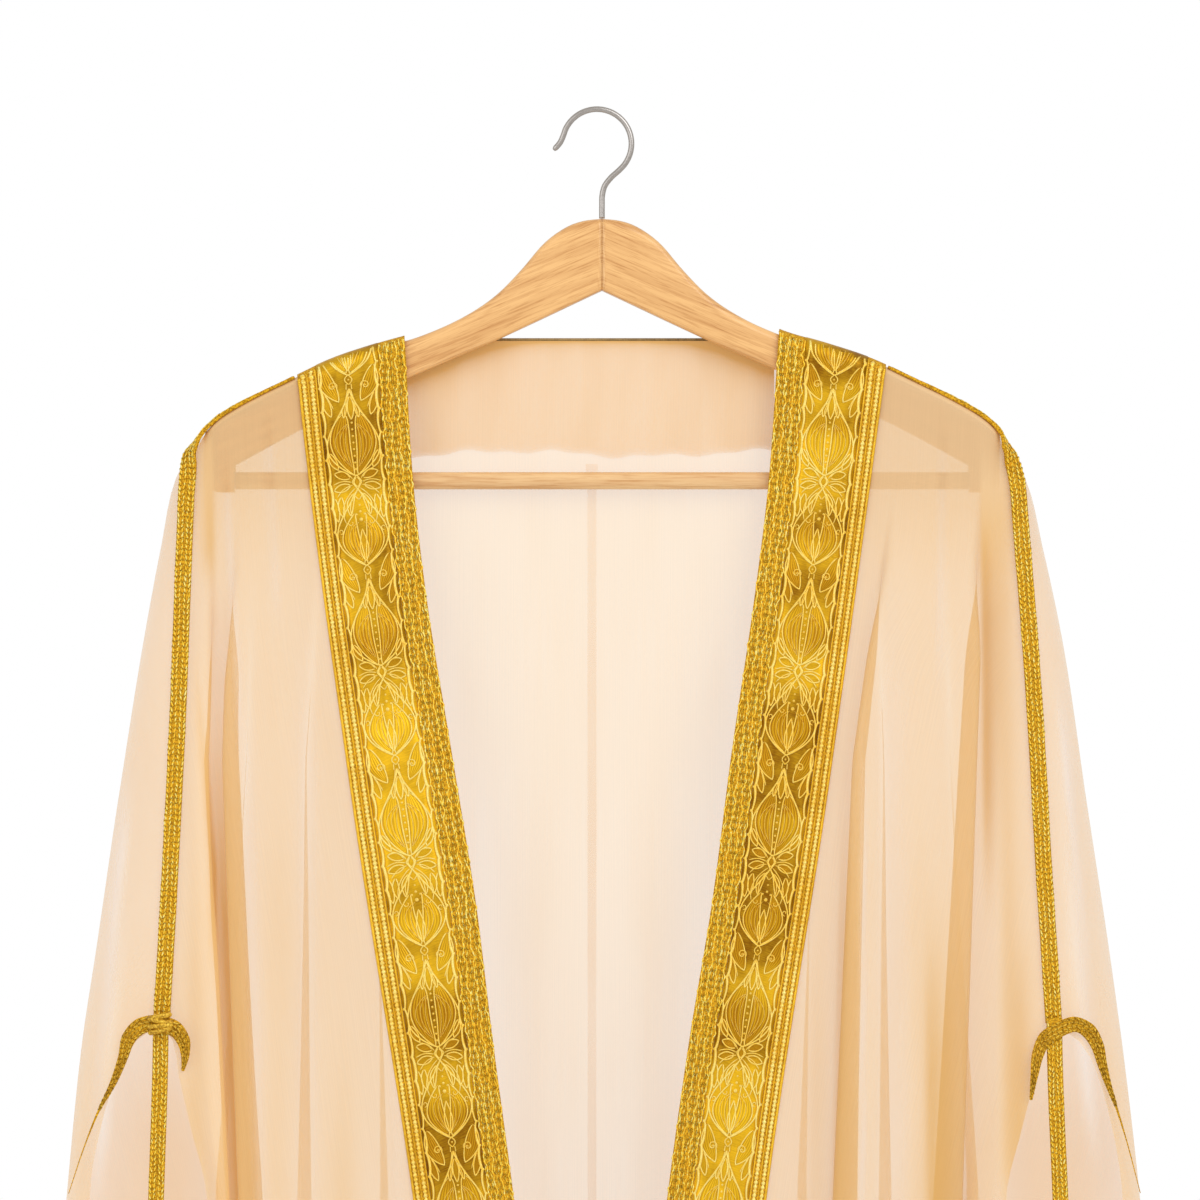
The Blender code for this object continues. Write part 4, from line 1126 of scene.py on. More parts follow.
    def corners(self) -> None:
        """Leaves and curls that fill the corners between the vines and the edges."""
        s = np.linspace(0.0, 1.0, 16)
        ring = self.cell
        self.leaf((13.4, ring - 9.0), (6.0, ring + 11.0), 7.8, 1.6, 0.25)
        self.line(self.spiral((8.6, ring + 2.4), 2.6, 1.3, 2.6), 0.85, 1.15, taper=0.06)
        self.dot((8.6, ring + 2.4), 0.7)
        self.leaf((13.2, ring + 7.0), (10.6, ring + 19.0), 3.8, 0.5, 0.1)
        self.line(np.stack([13.6 - 4.6 * s, ring + 6.0 + 9.0 * s**1.4], -1), 0.75, 0.9)
        self.leaf((13.2, 8.0), (12.6, 21.0), 3.4, 0.2, 0.1)
        self.leaf((9.6, 7.4), (9.4, 19.0), 3.4, 0.6, 0.35)
        self.leaf((13.4, self.repeat - 17.0), (9.6, self.repeat - 7.6), 3.6, 0.4, 0.2)
        self.line(self.spiral((12.0, 26.6), 1.6, 1.0, 1.2), 0.7, 0.9)

    def scallops(self) -> None:
        """A bright edge line in shallow scallops, thicker in runs, with a bead at each cusp."""
        down = np.linspace(0.0, self.repeat, 150)
        step = self.repeat / 8
        across = self.half - 0.4 - 1.1 * np.abs(np.sin(np.pi * down / step)) ** 0.6
        thick = 1.0 + 0.6 * smooth(np.sin(2 * np.pi * down / self.repeat * 2 + 0.8) * 0.5 + 0.5)
        made = stitched_line(np.stack([across, down], -1), 1.2, 0.9, 0.0, thick)
        self.threads += [made, made.moved(mirror=True)]
        for k in range(8):
            self.dot((self.half - 0.2, k * step), 0.9)


def stitch_rows(rows: Sequence[float], length: float, pitch: float, width: float, height: float,
                wander: float, seed: int, plait: bool = False,
                narrowing: Callable[[Array], Array] | None = None) -> Stuff:
    """Rows of stitches, each strand a spindle: three square sections between two points.

    In a chain each stitch is two strands that leave one point, bulge apart as a sine and meet a
    little past the next stitch's start.  In a plait it is one slanted strand, and neighbouring
    rows slant opposite ways.  Rows sway by slow sines, and each stitch differs a little.

    Args:
        rows: place of each row across, in millimetres.
        length: length of the rows.
        pitch: distance from stitch to stitch.
        width: width of a stitch.
        height: height of a strand.
        wander: how far rows sway.
        seed: seed of the small differences.
        plait: slanted strands in place of chains.
        narrowing: factor on the rows' places and widths by distance down.

    Returns:
        The stitches as ornament.
    """
    rng = np.random.default_rng(seed)
    count = max(int(length / pitch), 1)
    stations = np.array([0.2, 0.52, 0.84])
    strand = (1.5 if plait else 1.32) * pitch
    chain_line = (width / 2 - 0.32) * np.sin(np.pi * stations) ** 0.6
    middle = (stations - 0.5) * width * 0.66 if plait else chain_line
    thick = np.array([0.85, 1.0, 0.8]) * width * (0.23 if plait else 0.17)
    ring = np.radians([45.0, 135.0, 225.0, 315.0])
    rings_a = middle[:, None] + thick[:, None] * np.cos(ring)
    rings_l = np.broadcast_to((stations * strand)[:, None], rings_a.shape)
    rings_h = height * 0.5 + height * 0.5 * np.sin(ring)[None, :] * np.array([0.8, 1.0, 0.85])[:, None]
    body = np.stack([rings_a, rings_l, rings_h], -1).reshape(-1, 3)
    reach = width * 0.36 if plait else -0.05
    ends = np.array([[-reach, 0.0, height * 0.2], [abs(reach), strand, height * 0.45]])
    half = np.concatenate([body, ends])
    sides = triangles(grid_faces(3, 4, wrap=True))
    k = np.arange(4)
    caps = [np.stack([np.full(4, 12), (k + 1) % 4, k], -1),
            np.stack([np.full(4, 13), 8 + k, 8 + (k + 1) % 4], -1)]
    faces = np.concatenate([sides[:, ::-1], *caps])
    strands = half[None] if plait else np.stack([half, half * np.array([-1.0, 1.0, 1.0])])
    both = faces[None] if plait else np.stack([faces, faces[:, ::-1]])
    row = np.array(rows, float)[:, None]
    jitter = rng.uniform(-0.08, 0.08, (len(rows), count))
    start = (np.arange(count)[None, :] + jitter + rng.uniform(0, 1, row.shape)) * pitch
    lean = rng.normal(0.0, 0.04 if plait else 0.14, start.shape)
    size = rng.uniform(0.88, 1.12, start.shape)
    tall = rng.uniform(0.75, 1.2, start.shape)
    sway = wander * np.sin(start / 7.5 + row * 2.1) + wander * 0.5 * np.sin(start / 3.1 + row)
    turn = np.where((np.arange(len(rows)) % 2 == 1) & plait, -1.0, 1.0)
    local = strands[None, None]
    across = local[..., 0] * size[..., None, None] + local[..., 1] * lean[..., None, None]
    across = across * turn[:, None, None, None]
    down = start[..., None, None] + local[..., 1]
    keep = np.ones_like(start) if narrowing is None else narrowing(start)
    place = ((row + sway) * keep)[..., None, None] + across * np.maximum(keep, 0.45)[..., None, None]
    points = np.stack([place, np.clip(down, 0.0, length), local[..., 2] * tall[..., None, None]], -1)
    offsets = (np.arange(len(rows) * count * len(strands)) * 14).reshape(len(rows), count, len(strands))
    numbered = both[None, None] + offsets[..., None, None]
    numbered = np.where(turn[:, None, None, None, None] < 0, numbered[..., ::-1], numbered)
    flat = points.reshape(-1, 3)
    return Stuff(flat, numbered.reshape(-1, 3), flat[:, :2] * MM, np.ones(len(flat)))


def wandering_cord(across: float, length: float, sway: float, width: float, height: float,
                   seed: int) -> Stuff:
    """A thin cord laid in uneven bends: three sines of its length, its thickness pulsing like stitches."""
    rng = np.random.default_rng(seed)
    down = np.arange(0.0, length, 0.85)
    waves = [(rng.uniform(14, 20), 1.0), (rng.uniform(6.5, 9), 0.7), (rng.uniform(3.6, 4.6), 0.35)]
    bend = sum(size * np.sin(down * FULL_TURN / step + rng.uniform(0, 6)) for step, size in waves)
    spread = 0.72 + 0.42 * np.abs(np.sin(down * np.pi / 3.4 + rng.uniform(0, 3)))
    return stitched_line(np.stack([across + sway * bend, down], -1), width, height, 0.0, spread)


def laid(name: str, stuff: Stuff, lay: Lay, keep: Callable[[Array], NDArray[np.bool_]] | None = None,
         mirrored: bool = False) -> bpy.types.Object:
    """Carry flat ornament onto the cloth.

    Args:
        name: the piece's name.
        stuff: the ornament.
        lay: gives points from distances across, down and up in millimetres.
        keep: says which laid corners stay; faces with a corner that doesn't are left out.
        mirrored: whether lay turns the ornament over, so its faces are turned back.

    Returns:
        The new piece.
    """
    points = lay(stuff.points[:, 0], stuff.points[:, 1], stuff.points[:, 2])
    faces = stuff.faces[:, ::-1] if mirrored else stuff.faces
    uv, shade = stuff.uv, stuff.shade
    if keep is not None:
        faces = faces[keep(points)[faces].all(axis=1)]
        used, inverse = np.unique(faces, return_inverse=True)
        points, uv, shade = points[used], uv[used], shade[used]
        faces = inverse.reshape(-1, 3)
    return make_mesh(name, points, faces, uv, {"shade": shade})


@dataclass
class Panel:
    """A panel of voile on its solid's surface."""

    side: Side
    lift: float = 0.6 * MM
    row_step: float = 9.0 * MM
    creases: tuple[Crease, ...] = ()

    def rows(self) -> Array:
        """Shares of the way down: dense where the cloth turns over the ridge, then even."""
        span = abs(float(hem(0.25))) - abs(HANG.tip_height)
        first = np.array([0.0, 0.3, 0.7, 1.2, 1.9, 2.8, 4.0, 5.6, 8.0]) * MM
        rest = np.arange(12 * MM, span, self.row_step)
        return np.concatenate([first, rest, [span]]) / span

    def stations(self, first: float, folds: int, plain: int, fold: int) -> list[float]:
        """Stations across plain stretches and folds in turn."""
        values: list[float] = []
        for number in range(folds):
            values += list(first + 2 * number + np.arange(plain) / plain)
            values += list(first + 2 * number + 1 + np.arange(fold) / fold)
        return values + list(first + 2 * folds + np.arange(plain + 1) / plain)

    def creased(self, points: Array, normals: Array) -> Array:
        """Points moved in along their normals by each crease's depth."""
        x, z = np.abs(points[..., 0]), points[..., 2]
        sink = sum((crease.depth * crease.share(x, z) for crease in self.creases), np.zeros_like(x))
        return points - normals * sink[..., None]

    def toned(self, points: Array) -> Array:
        """The creases' painted shade at each point: positive makes the cloth denser and darker,
        negative clearer and paler as painted highlight.
        """
        x, z = np.abs(points[..., 0]), points[..., 2]
        return sum((crease.tone * crease.share(x, z) for crease in self.creases), np.zeros_like(x))

    def gathered(self, across: Array, height: Array, first: float, folds: Sequence[Fold]) -> Array:
        """How much the folds add to the cloth's density, which on the front also darkens it as
        painted shade: a squared sine over each fold, growing with its turn.
        """
        total = np.zeros_like(across)
        for number, fold in enumerate(folds):
            _, _, turn = fold_sizes(fold, height)
            inside = np.clip(across - first - 2 * number - 1, 0.0, 1.0)
            total += np.sin(np.pi * inside) ** 2 * smooth(turn / 2.4)
        return total


@dataclass
class FrontPanel(Panel):
    """A front of the cloak.

    channel is painted shade: how much denser and darker the sunk channel between the left
    front's folds is made; seam_dense is how much denser the cloth is in the few millimetres
    under the shoulder's ridge, and veil how pale and close it is over the wood.
    """

    channel: float = 1.0
    seam_dense: float = 0.9
    veil: float = 0.9

    def build(self) -> bpy.types.Object:
        """Grid of front_surface, creased, moved out to the middle of the solid's wall."""
        folds = FRONT_FOLDS[self.side]
        across = np.array(list(np.linspace(0, 1, 13)[:-1]) + self.stations(1.0, len(folds), 22, 20))
        grid_across, grid_down = np.meshgrid(across, self.rows())
        points = front_surface(self.side, grid_across, grid_down)
        uv = grid_lengths(points)
        way = 1.0 if self.side is Side.LEFT else -1.0
        normals = grid_normals(points) * way
        points = self.creased(points, normals) + normals * self.lift
        # The folds add density and painted shade; the creases add painted shade and highlight.
        dense = self.gathered(grid_across, points[..., 2], 1.0, folds) * 0.5 + self.toned(points)
        through = np.zeros_like(dense)
        # Painted shade: between the left front's folds the sunk channel is made denser and darker; the glow
        # in the deep fold stands in for light through its layers.
        if self.side is Side.LEFT:
            grown = smooth((-0.30 - points[..., 2]) / 0.16)
            between = smooth((grid_across - 2.7) / 0.5) * smooth((4.6 - grid_across) / 0.8)
            dense += self.channel * between * grown
            deep = smooth((grid_across - 3.1) / 0.6) * smooth((5.4 - grid_across) / 0.4)
            through += deep * smooth((-0.25 - points[..., 2]) / 0.12)
        # Denser in the few millimetres under the ridge, outside the band.
        below = ridge(points[..., 0]) - points[..., 2]
        dense += self.seam_dense * (1.0 - smooth(below / 0.0045)) * (grid_across > 1.0)
        veil = self.veil * smooth((points[..., 2] + 0.27) / 0.065) * smooth((grid_across - 0.9) / 0.15)
        piece = make_mesh(f"front_cloth_{self.side.word}", points.reshape(-1, 3),
                          grid_faces(*points.shape[:2]), uv.reshape(-1, 2),
                          {"gathered": dense, "veil": veil, "through": through})
        outward(piece, (0, -1, 0))
        return dress(piece, CLOTH, "sheer_cloth", [f"front_{self.side.word}"])


@dataclass
class BackPanel(Panel):
    """Half of the back, with the flap that comes forward to the arm seam, clearer by outer_clear."""

    outer_clear: float = 0.24

    def build(self) -> bpy.types.Object:
        """Grid of back_surface, creased, moved out to the middle of the solid's wall."""
        folds = BACK_FOLDS[self.side]
        plain_end = 2 * len(folds) + 1
        across = self.stations(0.0, len(folds), 5, 12)[:-1]
        across += list(plain_end + np.linspace(0, 1, 9)[:-1]) + list(plain_end + 1 + np.linspace(0, 1, 13))
        grid_across, grid_down = np.meshgrid(np.array(across), self.rows())
        points = back_surface(self.side, grid_across, grid_down)
        uv = grid_lengths(points)
        way = -1.0 if self.side is Side.LEFT else 1.0
        normals = grid_normals(points) * way
        points = self.creased(points, normals) + normals * self.lift
        # The creases add painted shade and highlight, while the folds and the flap are made clearer; the glow
        # is faint over the whole back and stronger where the creases paint shade.
        dense = self.toned(points) - self.gathered(grid_across, points[..., 2], 0.0, folds) * 0.35
        dense -= self.outer_clear * smooth((grid_across - plain_end - 0.4) / 0.6)
        piece = make_mesh(f"back_cloth_{self.side.word}", points.reshape(-1, 3),
                          grid_faces(*points.shape[:2]), uv.reshape(-1, 2),
                          {"gathered": dense, "through": np.clip(0.35 + self.toned(points) * 1.3, 0.0, 1.0)})
        outward(piece, (0, 1, 0))
        return dress(piece, CLOTH, "sheer_cloth", [f"back_{self.side.word}"])


@dataclass
class Neck:
    """The facing inside the back neck, the piping on its edge and the strip over the back seam."""

    facing_lift: float = 0.8 * MM
    piping_radius: float = 0.85 * MM
    strip_half: float = 3.4 * MM

    def back_at(self, x: Array, z: Array) -> Array:
        """Points of the flat upper back at a distance from the middle and a height."""
        depth = curve(DEPTHS, z, 2) * over_ridge(ridge(x) - z)
        return np.stack([x, depth, z], -1)

    def facing(self) -> bpy.types.Object:
        """A grid from the neckline to a lower edge that waves as two sines."""
        x = np.linspace(-109 * MM, 96 * MM, 90)
        top = np.minimum(HANG.neckline + 0.4 * MM, ridge(x) - 1.0 * MM)
        foot = HANG.neckline - 62.5 * MM - 1.5 * MM * np.sin(x * 44.0 + 0.6)
        foot -= 1.0 * MM * np.sin(x * 118.0 + 1.0)
        foot -= 0.6 * MM * np.sin(x * 270.0)
        share = np.linspace(0, 1, 30)[:, None]
        z = top[None, :] * (1 - share) + foot[None, :] * share
        wave = 0.5 * MM * np.sin(x * 74.0 + 0.4)[None, :] * share
        points = self.back_at(np.broadcast_to(x, z.shape), z)
        points[..., 1] -= self.facing_lift + wave
        uv = grid_lengths(points)
        # Painted shadow: the facing is denser and darker just under the wooden arms and along its top edge
        # under the piping; it is also a little denser towards both sides, clearer at its lower edge, and
        # glows more where it is darker.
        under = np.maximum(curve(BOARD_FOOT, np.abs(x))[None, :] - z, 0.0)
        dense = 1.2 * np.exp(-under / (8.0 * MM)) + 0.9 * np.exp((z - HANG.neckline) / (2.5 * MM))
        dense += 0.30 * np.exp(-((np.abs(x + 6 * MM)[None, :] - 88 * MM) / (16 * MM)) ** 2)
        dense -= 0.55 * smooth((share - 0.95) / 0.05)
        piece = make_mesh("neck_facing", points.reshape(-1, 3), grid_faces(*z.shape), uv.reshape(-1, 2),
                          {"gathered": dense, "through": 0.15 + 0.5 * np.clip(dense, 0.0, 1.0)})
        outward(piece, (0, -1, 0))
        return dress(piece, FACING, "yoke_cloth", ["yoke_facing"])

    def piping(self) -> bpy.types.Object:
        """A round cord along the neckline: circles of one radius on a straight path."""
        x = np.linspace(-99 * MM, 92 * MM, 120)
        z = HANG.neckline + 0.35 * MM + self.piping_radius
        y = curve(DEPTHS, HANG.neckline, 2) * over_ridge(np.maximum(ridge(x) - HANG.neckline, 0.0)) + 0.6 * MM
        path = np.stack([x, y, np.full(x.shape, z)], -1)
        piece = tube("neck_cord", path, np.full(x.shape, self.piping_radius), 12)
        return dress(piece, PIPING, "piping", ["neck_piping"])

    def strip(self) -> bpy.types.Object:
        """A narrow strip before the back seam, wider above the hanger's bar than below it."""
        z = np.linspace(-0.1955, float(hem(0.0)) + 2 * MM, 160)[:, None]
        half = np.where(z > -0.207, self.strip_half, self.strip_half * 0.72)
        share = np.linspace(-1, 1, 5)[None, :]
        x = HANG.centre_back + half * share
        y = curve(DEPTHS, z, 2) - 0.5 * MM - 0.25 * MM * (1 - share**2)
        points = np.stack(np.broadcast_arrays(x, y, z), -1)
        piece = make_mesh("back_seam_cover", points.reshape(-1, 3), grid_faces(*points.shape[:2]),
                          grid_lengths(points).reshape(-1, 2), {"gathered": np.full(points.shape[:2], -0.55)})
        outward(piece, (0, -1, 0))
        return dress(piece, FACING, "sheer_cloth", ["back_seam_strip"])

    def build(self) -> list[bpy.types.Object]:
        """Build all three."""
        return [self.facing(), self.piping(), self.strip()]


def tube(name: str, path: Array, radius: Array, sides: int) -> bpy.types.Object:
    """A round tube along a path, closed by a point at each end.

    At each point of the path a circle lies across it, in the plane of the path's side
    direction and a second direction square to both.
    """
    steps = unit(np.gradient(path, axis=0))
    guide = np.array([0.0, 1.0, 0.0])
    first = unit(np.cross(steps, guide))
    second = np.cross(steps, first)
    turn = np.linspace(0, 2 * np.pi, sides + 1)[:-1]
    rings = (path[:, None] + radius[:, None, None] * (np.cos(turn)[None, :, None] * first[:, None]
                                                      + np.sin(turn)[None, :, None] * second[:, None]))
    caps = [np.broadcast_to(end[None, None], rings[:1].shape) for end in (path[0], path[-1])]
    rings = np.concatenate([caps[0], rings, caps[1]])
    far = np.concatenate([[0.0], np.cumsum(np.linalg.norm(np.diff(rings.mean(1), axis=0), axis=1))])
    uv = np.stack(np.broadcast_arrays((turn / FULL_TURN)[None, :], far[:, None]), -1)
    faces = grid_faces(len(rings), sides, wrap=True)
    piece = make_mesh(name, rings.reshape(-1, 3), faces, uv.reshape(-1, 2))
    at = np.round(np.arange(len(faces)) // sides - 0.5).astype(int)
    return away_from(piece, path[np.clip(at, 0, len(path) - 1)])


@dataclass
class Band:
    """The wide gold band on a front edge: chain-stitched braid, brocade and striped border."""

    side: Side
    width: float = 57.0
    top: float = -0.100
    brocade_middle: float = 30.6
    phase: float = 0.0

    def __post_init__(self) -> None:
        """Work out the band's middle line: height, place, direction and width by distance down it."""
        z = np.arange(self.top, -1.66, -MM)
        inner, outer = (curve(t, z, self.side.column) for t in (FRONT_EDGE, BAND_EDGE))
        x = (inner + outer) / 2
        far = np.concatenate([[0.0], np.cumsum(np.hypot(np.diff(x), np.diff(z)))])
        self.table = np.stack([far, x, z, np.gradient(x, far), np.gradient(z, far), outer - inner])

    def sheet(self, x: Array, z: Array) -> Array:
        """How far the front stands forward at a place and height."""
        return curve(DEPTHS, z) * over_ridge(ridge(x) - z)

    def lay(self, across: Array, down: Array, up: Array) -> Array:
        """Carry (mm from the inner edge, mm down, mm up) onto the front, as `laid` needs.

        The place is the middle line's point at that distance plus the distance across times
        the direction square to it; the normal comes from small steps of `sheet`.
        """
        far, *columns = self.table
        x, z, dx, dz, wide = (np.interp(down * MM, far, c) for c in columns)
        aside = (across / self.width - 0.5) * wide * np.abs(dz)
        x = x - dz * aside
        z = z + dx * aside
        step = 0.4 * MM
        slope_x = (self.sheet(x + step, z) - self.sheet(x - step, z)) / (2 * step)
        slope_z = (self.sheet(x, z + step) - self.sheet(x, z - step)) / (2 * step)
        normal = unit(np.stack([-slope_x, -np.ones_like(x), -slope_z], -1))
        points = np.stack([x, -self.sheet(x, z), z], -1) + normal * (up * MM)[..., None]
        return points * np.array([self.side.value, 1.0, 1.0])

    def inside(self, points: Array) -> NDArray[np.bool_]:
        """Which points are under the shoulder's ridge and above the hem."""
        x = np.abs(points[:, 0])
        return (points[:, 2] < ridge(x) + 0.6 * MM) & (points[:, 2] > hem(x) + 0.5 * MM)

    def above_waist(self, points: Array) -> NDArray[np.bool_]:
        """Which points are on the wide part of the band."""
        return self.inside(points) & (points[:, 2] > HANG.band_end)

    def ground(self, name: str, low: float, high: float, near: float, far: float,
               foot: float) -> bpy.types.Object:
        """A strip's base: a closed wall between two distances from the cloth, from the ridge to a height."""
        across = np.linspace(low, high, 7)
        span = abs(float(hem(0.05))) - abs(float(ridge(0.14)))
        last = (abs(foot) - abs(float(ridge(0.14)))) / span
        first = np.array([0.0, 0.3, 0.7, 1.2, 1.9, 2.8, 4.0, 5.6]) * MM / span
        down = np.concatenate([first, np.linspace(8 * MM / span, last, int(last * span / (7 * MM)))])
        grid_across, grid_down = np.meshgrid(across, down)
        points = front_surface(self.side, grid_across, grid_down)
        normals = grid_normals(points) * (1.0 if self.side is Side.LEFT else -1.0)
        uv = grid_lengths(points)
        piece = closed_wall(name, points + normals * near, points + normals * far, uv)
        if self.side is Side.RIGHT:
            piece.data.flip_normals()
        return piece

    def build(self) -> list[bpy.types.Object]:
        """Build the three strips with what is stitched on them."""
        word, mirrored = self.side.word, self.side is Side.LEFT
        made: list[bpy.types.Object] = []
        base = HANG.trim_lift
        near, top = base - 0.3 * MM, base + 0.3 * MM
        hem_end = float(hem(0.03)) + MM
        for name, low, high, far, foot, finish, slot, node in (
                ("brocade_ground", 0.2505, 0.8195, base + 0.5 * MM, HANG.band_end, GROUND, "gold_brocade",
                 "brocade"),
                ("border_ground", 0.8205, 0.995, top, HANG.band_end, BACKING, "gold_border", "stripe_border"),
                ("edge_braid_ground", 0.0, 0.2495, top, hem_end, BACKING, "gold_braid", "edge_braid")):
            strip = self.ground(f"{name}_{word}", low, high, near, far, foot)
            made.append(dress(strip, finish, slot, [f"{node}_{word}"]))
        petals, threads = Brocade().draw()
        count = 8
        lift = (base + 0.5 * MM) / MM

        def on_brocade(across: Array, down: Array, up: Array) -> Array:
            """The brocade's flat drawing on the band, from its middle line."""
            return self.lay(across + self.brocade_middle, down + self.phase, up + lift)

        for label, stuff, finish in (("petals", petals, PETALS), ("threads", threads, OUTLINE)):
            piece = laid(f"brocade_{label}_{word}", repeated(stuff, Brocade.repeat, count), on_brocade,
                         self.above_waist, mirrored)
            made.append(dress(piece, finish, "gold_brocade"))
        made += [*self.border(lift), self.edge_braid(lift)]
        return made

    def border(self, lift: float) -> list[bpy.types.Object]:
        """Two beaded cords between three plain ones down the outer strip."""
        down = np.arange(0.0, 760.0, 0.5)
        beads = 0.30 + 0.75 * np.abs(np.sin(np.pi * down / 2.4))
        straight = down[::4]
        plain = [stitched_line(np.stack([np.full(straight.shape, a), straight], -1), w, 0.9, 0.0)
                 for a, w in ((47.4, 1.2), (51.75, 0.9), (56.1, 1.7))]
        beaded = [stitched_line(np.stack([np.full(down.shape, a), down], -1), 2.9, 1.15, 0.0, beads)
                  for a in (49.6, 53.9)]

        def on_border(across: Array, down: Array, up: Array) -> Array:
            """The border's cords on the band."""
            return self.lay(across, down, up + lift - 0.2)

        made = []
        for label, parts, finish in (("plain", plain, BORDER_CORD), ("beaded", beaded, OUTLINE)):
            piece = laid(f"border_{label}_cords_{self.side.word}", gather(parts), on_border, self.above_waist,
                         self.side is Side.LEFT)
            made.append(dress(piece, finish, "gold_border"))
        return made

    def edge_braid(self, lift: float) -> bpy.types.Object:
        """Chain stitches between wandering cords down the inner strip, from the shoulder to the hem."""
        seed = 11 + self.side.value
        chains = stitch_rows((2.9, 7.3, 11.7), 1500.0, 4.4, 3.0, 0.7, 0.7, seed)
        places = (0.9, 5.1, 9.5, 13.5)
        cords = [wandering_cord(a, 1500.0, 0.5, 0.95, 0.85, seed + 50 + n) for n, a in enumerate(places)]
        stuff = gather([chains, *cords])

        def on_edge(across: Array, down: Array, up: Array) -> Array:
            """The stitches on the band's inner strip."""
            return self.lay(across, down, up + lift - 0.25)

        name = f"edge_braid_stitches_{self.side.word}"
        piece = laid(name, stuff, on_edge, self.inside, self.side is Side.LEFT)
        return dress(piece, CHAIN, "gold_braid")


def node_tree(names: Sequence[str]) -> list[BVHTree]:
    """Search trees of CAD nodes, to lay braid where their solids are."""
    trees = []
    for name in names:
        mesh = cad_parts[name].data
        corners = [v.co.copy() for v in mesh.vertices]
        trees.append(BVHTree.FromPolygons(corners, [list(p.vertices) for p in mesh.polygons]))
    return trees


def clear_of(points: Array, facings: Array, trees: Sequence[BVHTree], gap: float) -> Array:
    """How far points have to move along their facing to stand clear of what lies under them."""
    reach = 0.08
    rises = []
    for p, f in zip(points, facings):
        start, way = Vector(p), Vector(f).normalized()
        hits = [tree.ray_cast(start + way * reach, -way, 2 * reach)[3] for tree in trees]
        nearest = min([h for h in hits if h is not None], default=reach + gap)
        rises.append(max(reach - nearest + gap, 0.0))
    return np.array(rises)


def along_path(points: Array, far: Array, at: Array) -> Array:
    """Points of a cubic Hermite line through given points, read at distances along it."""
    slopes = np.gradient(points, far, axis=0)
    at = np.clip(at, far[0], far[-1])
    i = np.clip(np.searchsorted(far, at) - 1, 0, len(far) - 2)
    h = (far[i + 1] - far[i])[..., None]
    t = (at - far[i])[..., None] / h
    return hermite(t, h, (points[i], points[i + 1]), (slopes[i], slopes[i + 1]))


@dataclass
class Ribbon:
    """A way for flat braid: a middle line and a line on each side, and the side it faces."""

    middle: Array
    aside: Array
    facing: Array
    half: float = 4.9

    def __post_init__(self) -> None:
        """Measure the middle line."""
        steps = np.linalg.norm(np.diff(self.middle, axis=0), axis=1)
        self.far = np.concatenate([[0.0], np.cumsum(steps)]) / MM
        self.length = float(self.far[-1])

    def lay(self, across: Array, down: Array, up: Array) -> Array:
        """Carry (mm across, mm along, mm up) onto the way: its point, plus across and up directions."""
        point = along_path(self.middle, self.far, down)
        side = along_path(self.aside, self.far, down)
        out = along_path(self.facing, self.far, down)
        return point + side * (across / self.half)[..., None] + unit(out) * (up * MM)[..., None]


